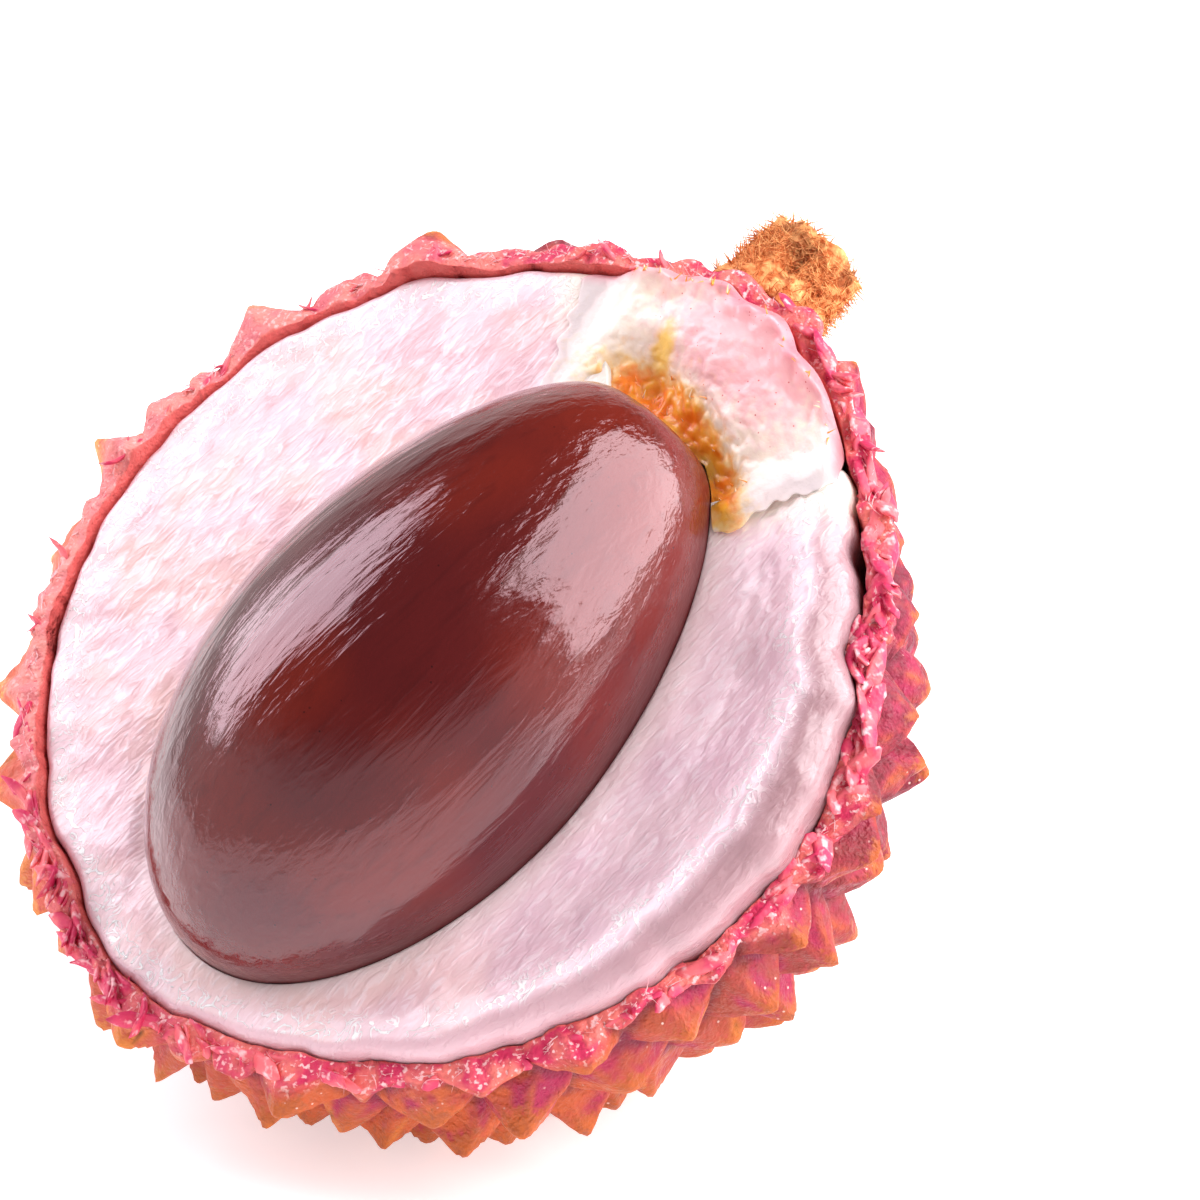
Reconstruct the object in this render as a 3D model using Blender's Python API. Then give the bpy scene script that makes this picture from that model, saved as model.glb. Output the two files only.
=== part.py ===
"""Half a lychee, cut lengthwise and lying on the back of its rind, with its whole seed still in the flesh.

Metres, +Z up. The origin is the middle of the small flat spot that the half rests on. Everything is shaped in
the fruit's own frame and carried to its place by one empty: there, +X runs along the fruit to its stem end, +Y
lies across the cut, and +Z points out of the cut face. The sizes below are in millimetres.
"""

import math

import bmesh
import bpy
import numpy as np
from mathutils import Matrix, Vector

MM = 0.001

# How the half lies: its cut face leans back by FACE_TILT and looks towards FACE_AZIMUTH.
FACE_AZIMUTH = math.radians(-121.0)
FACE_TILT = math.radians(39.7)
STEM_TURN = math.radians(155.3)
CENTRE_HEIGHT = 17.45
FLOOR_BLOCK = 60.0

# The body of the fruit, measured to the bottom of the seams between its tubercles.
HALF_LENGTH = 17.4
HALF_WIDTH = 17.4
DEPTH = 17.7
NECK_RISE = 1.15
NECK_SPREAD = math.radians(15.0)
TIP_RISE = 0.6
TIP_SPREAD = math.radians(16.0)

# The rind. Its torn edge is a sum of waves, each with its count round the cut, its share and its phase,
# and it is torn lower on the side where the flesh swells out of it.
RIND_THICKNESS = 0.8
RIM_WAVE = 0.28
RIM_WAVES = ((3, 0.45, 0.6), (7, 0.32, 2.1), (16, 0.23, 0.0))
RIM_SUNK = 1.25
RIM_SUNK_SIDE = math.radians(-78.0)
RIM_SUNK_SPREAD = math.radians(30.0)
RIM_BEVEL = 0.5
RIM_RELIEF = 0.3
RIND_COLUMNS = 216
RIND_OUTER_ROWS = 58
RIND_RIM_ROWS = 2
RIND_INNER_ROWS = 24
RIND_WELD = 0.3
RIND_KEPT_FACES = 0.245

# The tubercles: blunt and low from STEM_ZONE_FROM towards the stem, sharp and high over the rest of the fruit.
TUBERCLES = 390
TUBERCLE_SEED = 7
TUBERCLE_CROWDING = 0.12
TUBERCLE_SHAKE = 0.032
TUBERCLE_NEIGHBOURS = 12
TUBERCLE_HEIGHT = 1.85
TUBERCLE_HEIGHT_STEM = 1.1
TUBERCLE_HEIGHT_SPREAD = 0.24
RIDGE_SHARPNESS = 14.0
SPIKE_POWER = 1.22
SPIKE_POWER_STEM = 0.95
STEM_ZONE_FROM = 0.35
STEM_ZONE_WIDTH = 0.5

# The flesh: a thick bowl. On one side it rises out of the rind, swells over the torn edge with a round
# shoulder, and sags to the lip of the seed's hollow.
GAP = 0.35
FLESH_TOP = 0.05
FLESH_LIFT = 1.35
FLESH_LIFT_SIDE = math.radians(-80.0)
FLESH_LIFT_SPREAD = math.radians(52.0)
SHOULDER_LOW = 0.6
SHOULDER_HIGH = 2.5
SHOULDER_SIDE = math.radians(-68.0)
SHOULDER_SPREAD = math.radians(40.0)
SHOULDER_SHARE = 0.6
SHOULDER_SWELL = 1.0
LIP_SUNK = 1.3
FLESH_SAG = 0.4
FLESH_COLUMNS = 64
FLESH_WALL_ROWS = 12
FLESH_SHOULDER_ROWS = 4
FLESH_FACE_ROWS = 4
FLESH_HOLLOW_ROWS = 10

# The seed, an egg that narrows to a blunt scar where it was attached. Its middle is where it is widest.
SEED_MIDDLE = (-2.36, -1.41, 1.0)
SEED_TURN = math.radians(5.0)
SEED_FAR_LENGTH = 12.5
SEED_STEM_LENGTH = 15.2
SEED_STEM_TAPER = 1.75
SEED_HALF_WIDTH = 8.15
SEED_HALF_DEPTH = 7.6
SEED_SCAR_AT = 14.35
SEED_SCAR_ROUNDING = 0.25
SEED_COLUMNS = 40
SEED_ROWS = 24

# The pale pith that held the seed, bent along the rind at the stem end, in a pocket that is open above it. Its
# lumps and hollows: degrees round the cut, distance from the middle, spread and height.
PITH_MIDDLE = math.radians(0.0)
PITH_SPAN = math.radians(23.5)
PITH_HALF_THICKNESS = 2.6
PITH_HALF_HEIGHT = 3.2
PITH_LEVEL = -2.8
PITH_FULLNESS = 0.5
PITH_LUMPS = ((-2, 16.3, 2.4, 1.2), (22, 16.6, 1.6, 0.4), (8, 13.6, 1.5, -1.2), (-9, 13.0, 1.5, -0.9))
POCKET_RAISED = 3.0
PITH_COLUMNS = 28
PITH_ROWS = 20

# The dry stub of the stalk, on a bare spot of the rind just behind the cut.
STALK_SPOT = (19.9, 2.2, -2.5)
STALK_RADIUS = 2.1
STALK_LENGTH = 3.5
STALK_FOOT_GAP = 0.42
STALK_FLARE = 0.35
STALK_RIDGES = 7
STALK_RIDGE_HEIGHT = 0.07
STALK_COLUMNS = 28
STALK_ROWS = 14
STALK_BARE_FROM = math.radians(6.0)
STALK_BARE_TO = math.radians(11.0)


def fruit_matrix():
    """The matrix from the fruit's frame to the place where the half lies."""
    turn = Matrix.Rotation(FACE_AZIMUTH, 4, "Z") @ Matrix.Rotation(FACE_TILT, 4, "Y")
    turn = turn @ Matrix.Rotation(STEM_TURN, 4, "Z")
    return Matrix.Translation((0, 0, CENTRE_HEIGHT * MM)) @ turn


def bell(angle, spread):
    """A smooth bump of height 1 at angle 0."""
    return np.exp(-0.5 * (angle / spread) ** 2)


def ramp(value, start, length):
    """0 up to the start, 1 from the start plus the length on, and straight between them."""
    return np.clip((value - start) / length, 0, 1)


def turned_apart(azimuth, other):
    """The angle from the other azimuth to this one, from -pi to pi."""
    return (azimuth - other + math.pi) % (2 * math.pi) - math.pi


def toward(azimuth, latitude):
    """Unit directions from azimuths round the cut and latitudes above it."""
    flat = np.cos(latitude)
    return np.stack([flat * np.cos(azimuth), flat * np.sin(azimuth), np.sin(latitude)], axis=1)


def body_radius(directions):
    """Distance from the middle of the fruit to the seams between its tubercles, along unit directions."""
    radius = 1 / np.linalg.norm(directions / (HALF_LENGTH, HALF_WIDTH, DEPTH), axis=1)
    from_stem = np.arccos(np.clip(directions[:, 0], -1, 1))
    neck = NECK_RISE * bell(from_stem, NECK_SPREAD)
    return radius + neck + TIP_RISE * bell(math.pi - from_stem, TIP_SPREAD)


def inner_radius(directions):
    """Distance from the middle of the fruit to what lies against the inside of the rind."""
    return body_radius(directions) - RIND_THICKNESS - GAP


def stalk_direction():
    return np.array(STALK_SPOT) / np.linalg.norm(STALK_SPOT)


def tubercle_centres():
    """Unit directions of the tubercles: a shaken spiral round the stem axis, closer together at both ends."""
    count = np.arange(TUBERCLES)
    along = 1 - 2 * (count + 0.5) / TUBERCLES
    along = along * (1 + TUBERCLE_CROWDING * (1 - along**2))
    across = np.sqrt(1 - along**2)
    turn = count * math.pi * (3 - math.sqrt(5))
    centres = np.stack([along, across * np.cos(turn), across * np.sin(turn)], axis=1)
    random = np.random.default_rng(TUBERCLE_SEED)
    centres += random.normal(0, TUBERCLE_SHAKE, centres.shape)
    spread = random.uniform(-1, 1, TUBERCLES)
    return centres / np.linalg.norm(centres, axis=1)[:, None], spread


def tubercle_relief(directions):
    """Height of the rind's relief along unit directions: a ridged pyramid on each cell of a net of seams."""
    centres, spread = tubercle_centres()
    nearest = np.argsort(-(centres @ centres.T), axis=1)[:, 1 : TUBERCLE_NEIGHBOURS + 1]
    own = np.argmax(directions @ centres.T, axis=1)
    to_next = centres[nearest[own]] - centres[own][:, None, :]
    way_to_seam = 2 * np.einsum("nkj,nj->nk", to_next, directions - centres[own])
    way_to_seam = np.clip(way_to_seam / (to_next**2).sum(axis=2), 0, None)
    share = (way_to_seam**RIDGE_SHARPNESS).sum(axis=1) ** (1 / RIDGE_SHARPNESS)
    near_stem = ramp(centres[own, 0], STEM_ZONE_FROM, STEM_ZONE_WIDTH)
    height = TUBERCLE_HEIGHT + (TUBERCLE_HEIGHT_STEM - TUBERCLE_HEIGHT) * near_stem
    height = height * (1 + TUBERCLE_HEIGHT_SPREAD * spread[own])
    power = SPIKE_POWER + (SPIKE_POWER_STEM - SPIKE_POWER) * near_stem
    from_stalk = np.arccos(np.clip(directions @ stalk_direction(), -1, 1))
    bare = ramp(from_stalk, STALK_BARE_FROM, STALK_BARE_TO - STALK_BARE_FROM)
    return height * bare * (1 - np.clip(share, 0, 1)) ** power


def sphere_grid(columns, rows):
    """A UV sphere's mesh, its points, their azimuths, and their rows counted up from the lower pole."""
    shape = bmesh.new()
    bmesh.ops.create_uvsphere(shape, u_segments=columns, v_segments=rows, radius=1)
    points = np.array([vertex.co for vertex in shape.verts])
    azimuth = np.arctan2(points[:, 1], points[:, 0])
    latitude = np.arcsin(np.clip(points[:, 2], -1, 1))
    return shape, points, azimuth, np.round((latitude / math.pi + 0.5) * rows)


def finish_mesh(shape, points, name, weld=0.0):
    """Moves the sphere's vertices to the points, joins those closer than the weld, and makes a mesh of it."""
    for vertex, point in zip(shape.verts, points * MM):
        vertex.co = Vector(point)
    if weld:
        bmesh.ops.remove_doubles(shape, verts=shape.verts, dist=weld * MM)
    shape.normal_update()
    bmesh.ops.recalc_face_normals(shape, faces=shape.faces)
    mesh = bpy.data.meshes.new(name)
    shape.to_mesh(mesh)
    shape.free()
    return mesh


def rim_sunk(azimuth):
    """1 where the rind is torn lowest, falling to 0 away from there."""
    return bell(turned_apart(azimuth, RIM_SUNK_SIDE), RIM_SUNK_SPREAD)


def rim_level(azimuth):
    """How far the torn edge of the rind stands above the cut, round the cut."""
    waves = RIM_WAVE * sum(share * np.sin(count * azimuth + phase) for count, share, phase in RIM_WAVES)
    return waves - RIM_SUNK * rim_sunk(azimuth)


def rind_mesh():
    """The rind, a ball pushed in on itself: its lower half is the outside, its upper half the inner wall."""
    rows = RIND_OUTER_ROWS + RIND_RIM_ROWS + RIND_INNER_ROWS
    shape, _, azimuth, row = sphere_grid(RIND_COLUMNS, rows)
    up_outside = ramp(row, 0, RIND_OUTER_ROWS)
    over_rim = ramp(row, RIND_OUTER_ROWS, RIND_RIM_ROWS)
    down_inside = ramp(row, RIND_OUTER_ROWS + RIND_RIM_ROWS, RIND_INNER_ROWS)
    edge = np.arcsin(rim_level(azimuth) / HALF_WIDTH)
    latitude = -math.pi / 2 + (edge + math.pi / 2) * (up_outside - down_inside)
    directions = toward(azimuth, latitude)
    radius = body_radius(directions)
    below_rim = (edge - latitude) * HALF_WIDTH
    kept_relief = RIM_RELIEF + (1 - RIM_RELIEF) * ramp(below_rim, 0, RIM_BEVEL)
    relief = tubercle_relief(directions) * kept_relief
    distance = radius + relief - (relief + RIND_THICKNESS) * over_rim
    return finish_mesh(shape, directions * distance[:, None], "rind", RIND_WELD)


def seed_points(azimuth, latitude, grown=0.0):
    """Points on the seed, grown by a margin, from azimuths and latitudes round its widest place."""
    unit = toward(azimuth, latitude)
    to_stem = np.clip(unit[:, 0], 0, 0.999)
    taper = np.sqrt((1 - to_stem**SEED_STEM_TAPER) / (1 - to_stem**2))
    along = unit[:, 0] * (np.where(unit[:, 0] > 0, SEED_STEM_LENGTH, SEED_FAR_LENGTH) + grown)
    scar = SEED_SCAR_AT + grown
    along = scar - SEED_SCAR_ROUNDING * np.log1p(np.exp((scar - along) / SEED_SCAR_ROUNDING))
    across = unit[:, 1] * taper * (SEED_HALF_WIDTH + grown)
    up = unit[:, 2] * taper * (SEED_HALF_DEPTH + grown)
    turn = np.array(Matrix.Rotation(SEED_TURN, 3, "Z"))
    return np.stack([along, across, up], axis=1) @ turn.T + SEED_MIDDLE


def seed_mesh(name, grown=0.0):
    shape, points, azimuth, _ = sphere_grid(SEED_COLUMNS, SEED_ROWS)
    latitude = np.arcsin(np.clip(points[:, 2], -1, 1))
    return finish_mesh(shape, seed_points(azimuth, latitude, grown), name)


def flesh_mesh():
    """The flesh, a ball pushed in by the seed: outside, rounded shoulder, cut face, then the seed's hollow."""
    face_from = FLESH_WALL_ROWS + FLESH_SHOULDER_ROWS
    hollow_from = face_from + FLESH_FACE_ROWS
    shape, _, azimuth, row = sphere_grid(FLESH_COLUMNS, hollow_from + FLESH_HOLLOW_ROWS)
    level = FLESH_TOP + FLESH_LIFT * bell(turned_apart(azimuth, FLESH_LIFT_SIDE), FLESH_LIFT_SPREAD)
    swollen = bell(turned_apart(azimuth, SHOULDER_SIDE), SHOULDER_SPREAD)
    height = SHOULDER_LOW + (SHOULDER_HIGH - SHOULDER_LOW) * swollen

    wall_end = np.arcsin((level - height) / HALF_WIDTH)
    up_wall = ramp(row, 0, FLESH_WALL_ROWS)
    directions = toward(azimuth, -math.pi / 2 + (wall_end + math.pi / 2) * up_wall)
    points = directions * inner_radius(directions)[:, None]

    outward = toward(azimuth, np.zeros_like(azimuth))
    lip_level = level - LIP_SUNK * swollen
    lip_latitude = np.arcsin((lip_level - SEED_MIDDLE[2]) / (SEED_HALF_DEPTH + GAP))
    lip = seed_points(azimuth - SEED_TURN, lip_latitude, GAP)
    room = inner_radius(outward) - (lip * outward).sum(axis=1)
    width = np.minimum(height, SHOULDER_SHARE * room)
    shoulder = ramp(row, FLESH_WALL_ROWS, FLESH_SHOULDER_ROWS) * math.pi / 2
    swell = SHOULDER_SWELL * rim_sunk(azimuth) * np.sin(2 * shoulder)
    points += outward * (swell - width * (1 - np.cos(shoulder)))[:, None]
    points[:, 2] += height * np.sin(shoulder)

    over_face = ramp(row, face_from, FLESH_FACE_ROWS)
    points += (lip - points) * over_face[:, None]
    points[:, 2] -= FLESH_SAG * swollen * np.sin(math.pi * over_face) ** 2

    down_hollow = ramp(row, hollow_from, FLESH_HOLLOW_ROWS)
    hollow_latitude = lip_latitude - (lip_latitude + math.pi / 2) * down_hollow
    hollow = seed_points(azimuth - SEED_TURN, hollow_latitude, GAP)
    return finish_mesh(shape, np.where((row > hollow_from)[:, None], hollow, points), "flesh")


def pith_lumps(azimuth, radius):
    """How far the top of the pith stands above or below its level, from its lumps and hollows."""
    raised = 0
    for middle, distance, spread, height in PITH_LUMPS:
        along = turned_apart(azimuth, math.radians(middle)) * radius
        raised += height * bell(np.hypot(along, radius - distance), spread)
    return raised


def pith_mesh(name, grown=0.0, raised=0.0):
    """The pith, a full-sided ball bent along the inner wall, grown by a margin, its lumpy top raised."""
    shape, points, _, _ = sphere_grid(PITH_COLUMNS, PITH_ROWS)
    across, up, along = (np.sign(points) * np.abs(points) ** PITH_FULLNESS).T
    azimuth = PITH_MIDDLE + (PITH_SPAN + grown / HALF_LENGTH) * along
    level = PITH_LEVEL + (PITH_HALF_HEIGHT + grown) * up
    latitude = np.arcsin(level / DEPTH)
    wall = inner_radius(toward(azimuth, latitude)) * np.cos(latitude)
    radius = wall - PITH_HALF_THICKNESS + (PITH_HALF_THICKNESS + grown) * across
    level += (pith_lumps(azimuth, radius) + raised) * np.clip(up, 0, 1)
    bent = np.stack([radius * np.cos(azimuth), radius * np.sin(azimuth), level], axis=1)
    return finish_mesh(shape, bent, name)


def stalk_mesh():
    """The stub, a ball squared into a ridged drum that flares at its foot, standing on the bare spot."""
    shape, points, azimuth, _ = sphere_grid(STALK_COLUMNS, STALK_ROWS)
    across = np.hypot(points[:, 0], points[:, 1])
    drum = points / np.maximum(np.abs(points[:, 2]), across)[:, None]
    down = (1 - drum[:, 2]) / 2
    ridges = 1 + STALK_RIDGE_HEIGHT * np.sin(STALK_RIDGES * azimuth + 2 * down)
    width = (STALK_RADIUS + STALK_FLARE * down**3) * ridges
    axis = stalk_direction()
    side = np.cross(axis, (0, 0, 1))
    side = side / np.linalg.norm(side)
    foot = body_radius(axis[None, :])[0] + STALK_FOOT_GAP
    placed = (foot + STALK_LENGTH * (1 - down))[:, None] * axis
    placed += (drum[:, 0] * width)[:, None] * side
    placed += (drum[:, 1] * width)[:, None] * np.cross(axis, side)
    return finish_mesh(shape, placed, "stalk_stub")


def add_part(collection, fruit, mesh, colour, roughness):
    """An object of this mesh in the fruit's frame, with a surface of its own."""
    surface = bpy.data.materials.new(mesh.name)
    surface.use_nodes = True
    surface.diffuse_color = (*colour, 1)
    shader = surface.node_tree.nodes["Principled BSDF"]
    shader.inputs["Base Color"].default_value = (*colour, 1)
    shader.inputs["Roughness"].default_value = roughness
    shader.inputs["Metallic"].default_value = 0
    mesh.materials.append(surface)
    mesh.shade_smooth()
    part = bpy.data.objects.new(mesh.name, mesh)
    part.parent = fruit
    collection.objects.link(part)
    return part


def cut(part, cutter, collection):
    """Cuts the cutter out of the part, and keeps it out of the render."""
    cutter.hide_render = True
    cutter.display_type = "WIRE"
    collection.objects.link(cutter)
    difference = part.modifiers.new(cutter.name, "BOOLEAN")
    difference.operation = "DIFFERENCE"
    difference.solver = "EXACT"
    difference.object = cutter


def floor_cutter():
    """A block under the floor, in the world's frame: it cuts the flat spot that the half rests on."""
    shape = bmesh.new()
    bmesh.ops.create_cube(shape, size=FLOOR_BLOCK * MM)
    bmesh.ops.translate(shape, verts=shape.verts, vec=(0, 0, -FLOOR_BLOCK * MM / 2))
    mesh = bpy.data.meshes.new("floor_block")
    shape.to_mesh(mesh)
    shape.free()
    return bpy.data.objects.new("floor_block", mesh)


def main():
    for old in list(bpy.data.objects):
        bpy.data.objects.remove(old)
    parts = bpy.data.collections.new("lychee_half")
    cutters = bpy.data.collections.new("cutters")
    bpy.context.scene.collection.children.link(parts)
    bpy.context.scene.collection.children.link(cutters)
    fruit = bpy.data.objects.new("fruit", None)
    fruit.matrix_world = fruit_matrix()
    parts.objects.link(fruit)

    rind = add_part(parts, fruit, rind_mesh(), (0.55, 0.10, 0.10), 0.55)
    rind.modifiers.new("thin_out", "DECIMATE").ratio = RIND_KEPT_FACES
    cut(rind, floor_cutter(), cutters)
    flesh = add_part(parts, fruit, flesh_mesh(), (0.86, 0.80, 0.83), 0.25)
    pocket = bpy.data.objects.new("pith_pocket", pith_mesh("pith_pocket", GAP, POCKET_RAISED))
    pocket.parent = fruit
    cut(flesh, pocket, cutters)
    add_part(parts, fruit, seed_mesh("seed"), (0.10, 0.018, 0.010), 0.12)
    pith = add_part(parts, fruit, pith_mesh("pith"), (0.90, 0.76, 0.62), 0.5)
    seed_room = bpy.data.objects.new("seed_room", seed_mesh("seed_room", GAP))
    seed_room.parent = fruit
    cut(pith, seed_room, cutters)
    add_part(parts, fruit, stalk_mesh(), (0.48, 0.22, 0.05), 0.9)


main()
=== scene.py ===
"""The looks of the lychee half: fine meshes and materials for its pieces, a floor, soft light and a camera.

Sizes are in millimetres in the fruit's own frame, as in part.py: +X runs to the stem end, +Y lies across the cut,
and +Z points out of the cut face. Each mesh is turned and scaled to its place in the frame when it is made.
"""

import math

import bpy
import numpy as np
from mathutils import Matrix, Vector, kdtree, noise


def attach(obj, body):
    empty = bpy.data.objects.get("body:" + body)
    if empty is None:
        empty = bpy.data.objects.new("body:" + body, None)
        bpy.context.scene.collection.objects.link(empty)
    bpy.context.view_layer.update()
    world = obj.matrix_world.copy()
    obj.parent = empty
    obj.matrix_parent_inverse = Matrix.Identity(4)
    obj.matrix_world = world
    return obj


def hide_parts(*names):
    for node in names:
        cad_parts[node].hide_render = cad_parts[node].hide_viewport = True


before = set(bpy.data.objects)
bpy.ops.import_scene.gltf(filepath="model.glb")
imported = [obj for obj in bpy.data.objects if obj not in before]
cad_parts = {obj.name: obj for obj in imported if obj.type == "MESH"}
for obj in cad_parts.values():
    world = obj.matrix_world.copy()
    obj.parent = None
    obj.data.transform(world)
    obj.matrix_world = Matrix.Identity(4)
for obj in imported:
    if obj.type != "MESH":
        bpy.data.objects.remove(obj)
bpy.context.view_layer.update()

MM = 0.001

# How the half lies, and its body, as in part.py.
FACE_AZIMUTH = math.radians(-121.0)
FACE_TILT = math.radians(39.7)
STEM_TURN = math.radians(155.3)
CENTRE_HEIGHT = 17.45
HALF_LENGTH = 17.4
HALF_WIDTH = 17.4
DEPTH = 17.7
NECK_RISE = 1.15
NECK_SPREAD = math.radians(15.0)
TIP_RISE = 0.6
TIP_SPREAD = math.radians(16.0)
RIND_THICKNESS = 0.8

# The tubercles, as in part.py.
TUBERCLES = 390
TUBERCLE_SEED = 7
TUBERCLE_CROWDING = 0.12
TUBERCLE_SHAKE = 0.032
TUBERCLE_NEIGHBOURS = 12
TUBERCLE_HEIGHT = 1.85
TUBERCLE_HEIGHT_STEM = 1.1
TUBERCLE_HEIGHT_SPREAD = 0.24
RIDGE_SHARPNESS = 14.0
SPIKE_POWER = 1.22
SPIKE_POWER_STEM = 0.95
STEM_ZONE_FROM = 0.35
STEM_ZONE_WIDTH = 0.5

# The torn rim, as in part.py, and then what only shows close by.
RIM_WAVE = 0.28
RIM_WAVES = ((3, 0.45, 0.6), (7, 0.32, 2.1), (16, 0.23, 0.0))
RIM_SUNK = 1.25
RIM_SUNK_SIDE = math.radians(-78.0)
RIM_SUNK_SPREAD = math.radians(30.0)
RIM_BEVEL = 0.5
RIM_RELIEF = 0.65
RIM_THINNED = 0.42
RIM_THINNED_DEPTH = 0.8
RIM_CREST = 0.28
RIM_CREST_INWARDS = 0.62
RIM_CREST_DEPTH = 0.6
RIM_TEAR = 0.28
RIM_WRINKLE = 0.2
RIM_CRUMPLED_SIDE = math.radians(-42.0)
RIM_CRUMPLED_SPREAD = math.radians(22.0)
RIM_BEND_DEPTH = 1.5
RIM_FLAPS = 260
RIM_SHREDS = 700

# Places where the rim is bent: degrees round the cut, spread in degrees, then how far inwards and upwards.
RIM_BENDS = (
    (-50, 4.0, 0.55, 0.30),
    (-28, 4.0, -0.25, 0.30),
    (-14, 3.0, -0.35, 0.55),
    (-4, 2.6, -0.30, 0.65),
    (7, 3.0, -0.35, 0.60),
    (22, 4.0, 0.10, 0.25),
    (52, 3.0, -0.40, 0.35),
    (165, 3.5, 0.35, 0.15),
)

# The fine rind.
RIND_COLUMNS = 600
RIND_OUTER_ROWS = 136
RIND_RIM_ROWS = 14
RIND_INNER_ROWS = 14
RIND_ROW_CROWDING = 0.8
SEAM_WANDER = 0.018
SEAM_WANDER_SIZE = 1.3
SEAM_GROOVE = 0.10
SEAM_WIDTH = 0.09
TIP_ROUNDING = 0.07
TIP_LEAN = 0.35
RIDGE_WIDTH = 0.16
RIDGE_RISE = 0.07
SLIT_SHARE = 0.7
SLIT_LENGTH = 0.42
SLIT_WIDTH = 0.13
SLIT_LIP = 0.07
SLIT_DEPTH = 0.12
GRAIN_SIZES = ((0.9, 0.07), (0.4, 0.035), (0.22, 0.018))
STALK_BARE_FROM = math.radians(6.0)
STALK_BARE_TO = math.radians(11.0)

# The flesh: its form as in part.py, but close against the rind and the seed.
FLESH_TOP = 0.05
FLESH_LIFT = 1.35
FLESH_LIFT_SIDE = math.radians(-80.0)
FLESH_LIFT_SPREAD = math.radians(52.0)
SHOULDER_LOW = 0.6
SHOULDER_HIGH = 2.5
SHOULDER_SIDE = math.radians(-68.0)
SHOULDER_SPREAD = math.radians(40.0)
SHOULDER_STEEPNESS = 0.65
SHOULDER_SHARE = 0.6
SHOULDER_SWELL = 0.4
LIP_SUNK = 1.3
FLESH_SAG = 0.4
FLESH_COLUMNS = 420
FLESH_WALL_ROWS = 34
FLESH_SHOULDER_ROWS = 26
FLESH_FACE_ROWS = 64
FLESH_HOLLOW_ROWS = 24
WALL_CLEARANCE = 0.05
SEED_CLEARANCE = 0.05
FLESH_CLIMB = math.radians(2.0)

# Where the flesh stands off the wall: degrees round the cut, spread, how far, and how deep down.
FLESH_OFF_WALL = ((-37, 4.5, 0.5, 1.8), (100, 30.0, 0.12, 2.0))

# The pocket for the pith, between the two ends of the flesh.
POCKET_DEPTH = 4.2
POCKET_REACH = math.radians(24.5)
POCKET_EASE = math.radians(3.5)

# The seed, as in part.py, with faint furrows along it.
SEED_MIDDLE = (-2.36, -1.41, 1.0)
SEED_TURN = math.radians(5.0)
SEED_FAR_LENGTH = 12.5
SEED_STEM_LENGTH = 15.2
SEED_STEM_TAPER = 1.75
SEED_HALF_WIDTH = 8.15
SEED_HALF_DEPTH = 7.6
SEED_SCAR_AT = 14.35
SEED_SCAR_ROUNDING = 0.25
SEED_COLUMNS = 260
SEED_ROWS = 200
SEED_FURROW = 0.04

# The pith, a sheet on a thick body. Its lumps: degrees round the cut, distance from the middle, spreads across
# and along, and height.
PITH_REACH = math.radians(27.0)
PITH_RAGGED = 0.09
PITH_SQUARENESS = 10
PITH_BOTTOM = -3.0
PITH_TOP = 0.35
PITH_EDGE = 0.06
PITH_EDGE_WIDTH = 0.1
PITH_BODY_SLOPE = 0.12
PITH_OVER_FLESH = 0.09
PITH_COLUMNS = 300
PITH_ROWS = 110
PITH_UNDER_ROWS = 30
PITH_LUMPS = (
    (-2, 16.2, 2.0, 3.2, 1.35),
    (20, 16.4, 1.6, 2.2, 0.4),
    (8, 13.5, 0.9, 1.2, -0.9),
    (-9, 12.6, 0.8, 2.4, -0.9),
)
PITH_CREST = 0.5
PITH_CREST_IN = 0.4
PITH_TORN = 0.3
TORN_FIBRES = 130

# The stub of the stalk, as in part.py.
STALK_SPOT = (19.9, 2.2, -2.5)
STALK_RADIUS = 2.1
STALK_LENGTH = 3.5
STALK_FOOT_GAP = 0.42
STALK_FLARE = 0.35
STALK_RIDGES = 7
STALK_RIDGE_HEIGHT = 0.07
STALK_COLUMNS = 120
STALK_ROWS = 90
STALK_FIBRES = 3200

# The camera, as the photograph was taken.
VIEW_DOWN = math.radians(28.0)
CAMERA_DISTANCE = 192.3
AIM_RIGHT = 6.12
AIM_UP = 1.85
CAMERA_LENS = 150.0
CAMERA_SENSOR = 36.0


def fruit_matrix():
    """The matrix from the fruit's frame to the place where the half lies."""
    turn = Matrix.Rotation(FACE_AZIMUTH, 4, "Z") @ Matrix.Rotation(FACE_TILT, 4, "Y")
    turn = turn @ Matrix.Rotation(STEM_TURN, 4, "Z")
    return Matrix.Translation((0, 0, CENTRE_HEIGHT * MM)) @ turn


def placed(points):
    """Points of the fruit's frame, in millimetres, at their place in the model, in metres."""
    matrix = np.array(fruit_matrix())
    return points * MM @ matrix[:3, :3].T + matrix[:3, 3]


def bell(distance, spread):
    """A smooth bump of height 1 at distance 0."""
    return np.exp(-0.5 * (distance / spread) ** 2)


def ramp(value, start, length):
    """0 up to the start, 1 from the start plus the length on, and straight between them."""
    return np.clip((value - start) / length, 0, 1)


def ease(value, start, length):
    """A ramp with soft ends."""
    share = ramp(value, start, length)
    return share * share * (3 - 2 * share)


def turned_apart(azimuth, other):
    """The angle between two azimuths, from -pi to pi."""
    return (azimuth - other + math.pi) % (2 * math.pi) - math.pi


def toward(azimuth, latitude):
    """Unit directions from azimuths round the cut and latitudes above it."""
    flat = np.cos(latitude)
    return np.stack([flat * np.cos(azimuth), flat * np.sin(azimuth), np.sin(latitude) + 0 * azimuth], axis=-1)


def rough(points, size, seed=0):
    """Smooth noise from about -1 to 1 at the points, its lumps about this size in millimetres."""
    at = points.reshape(-1, 3) / size + (seed * 7.31, seed * 3.17, seed * 5.53)
    return np.array([noise.noise(point) for point in at.tolist()]).reshape(points.shape[:-1])


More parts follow.
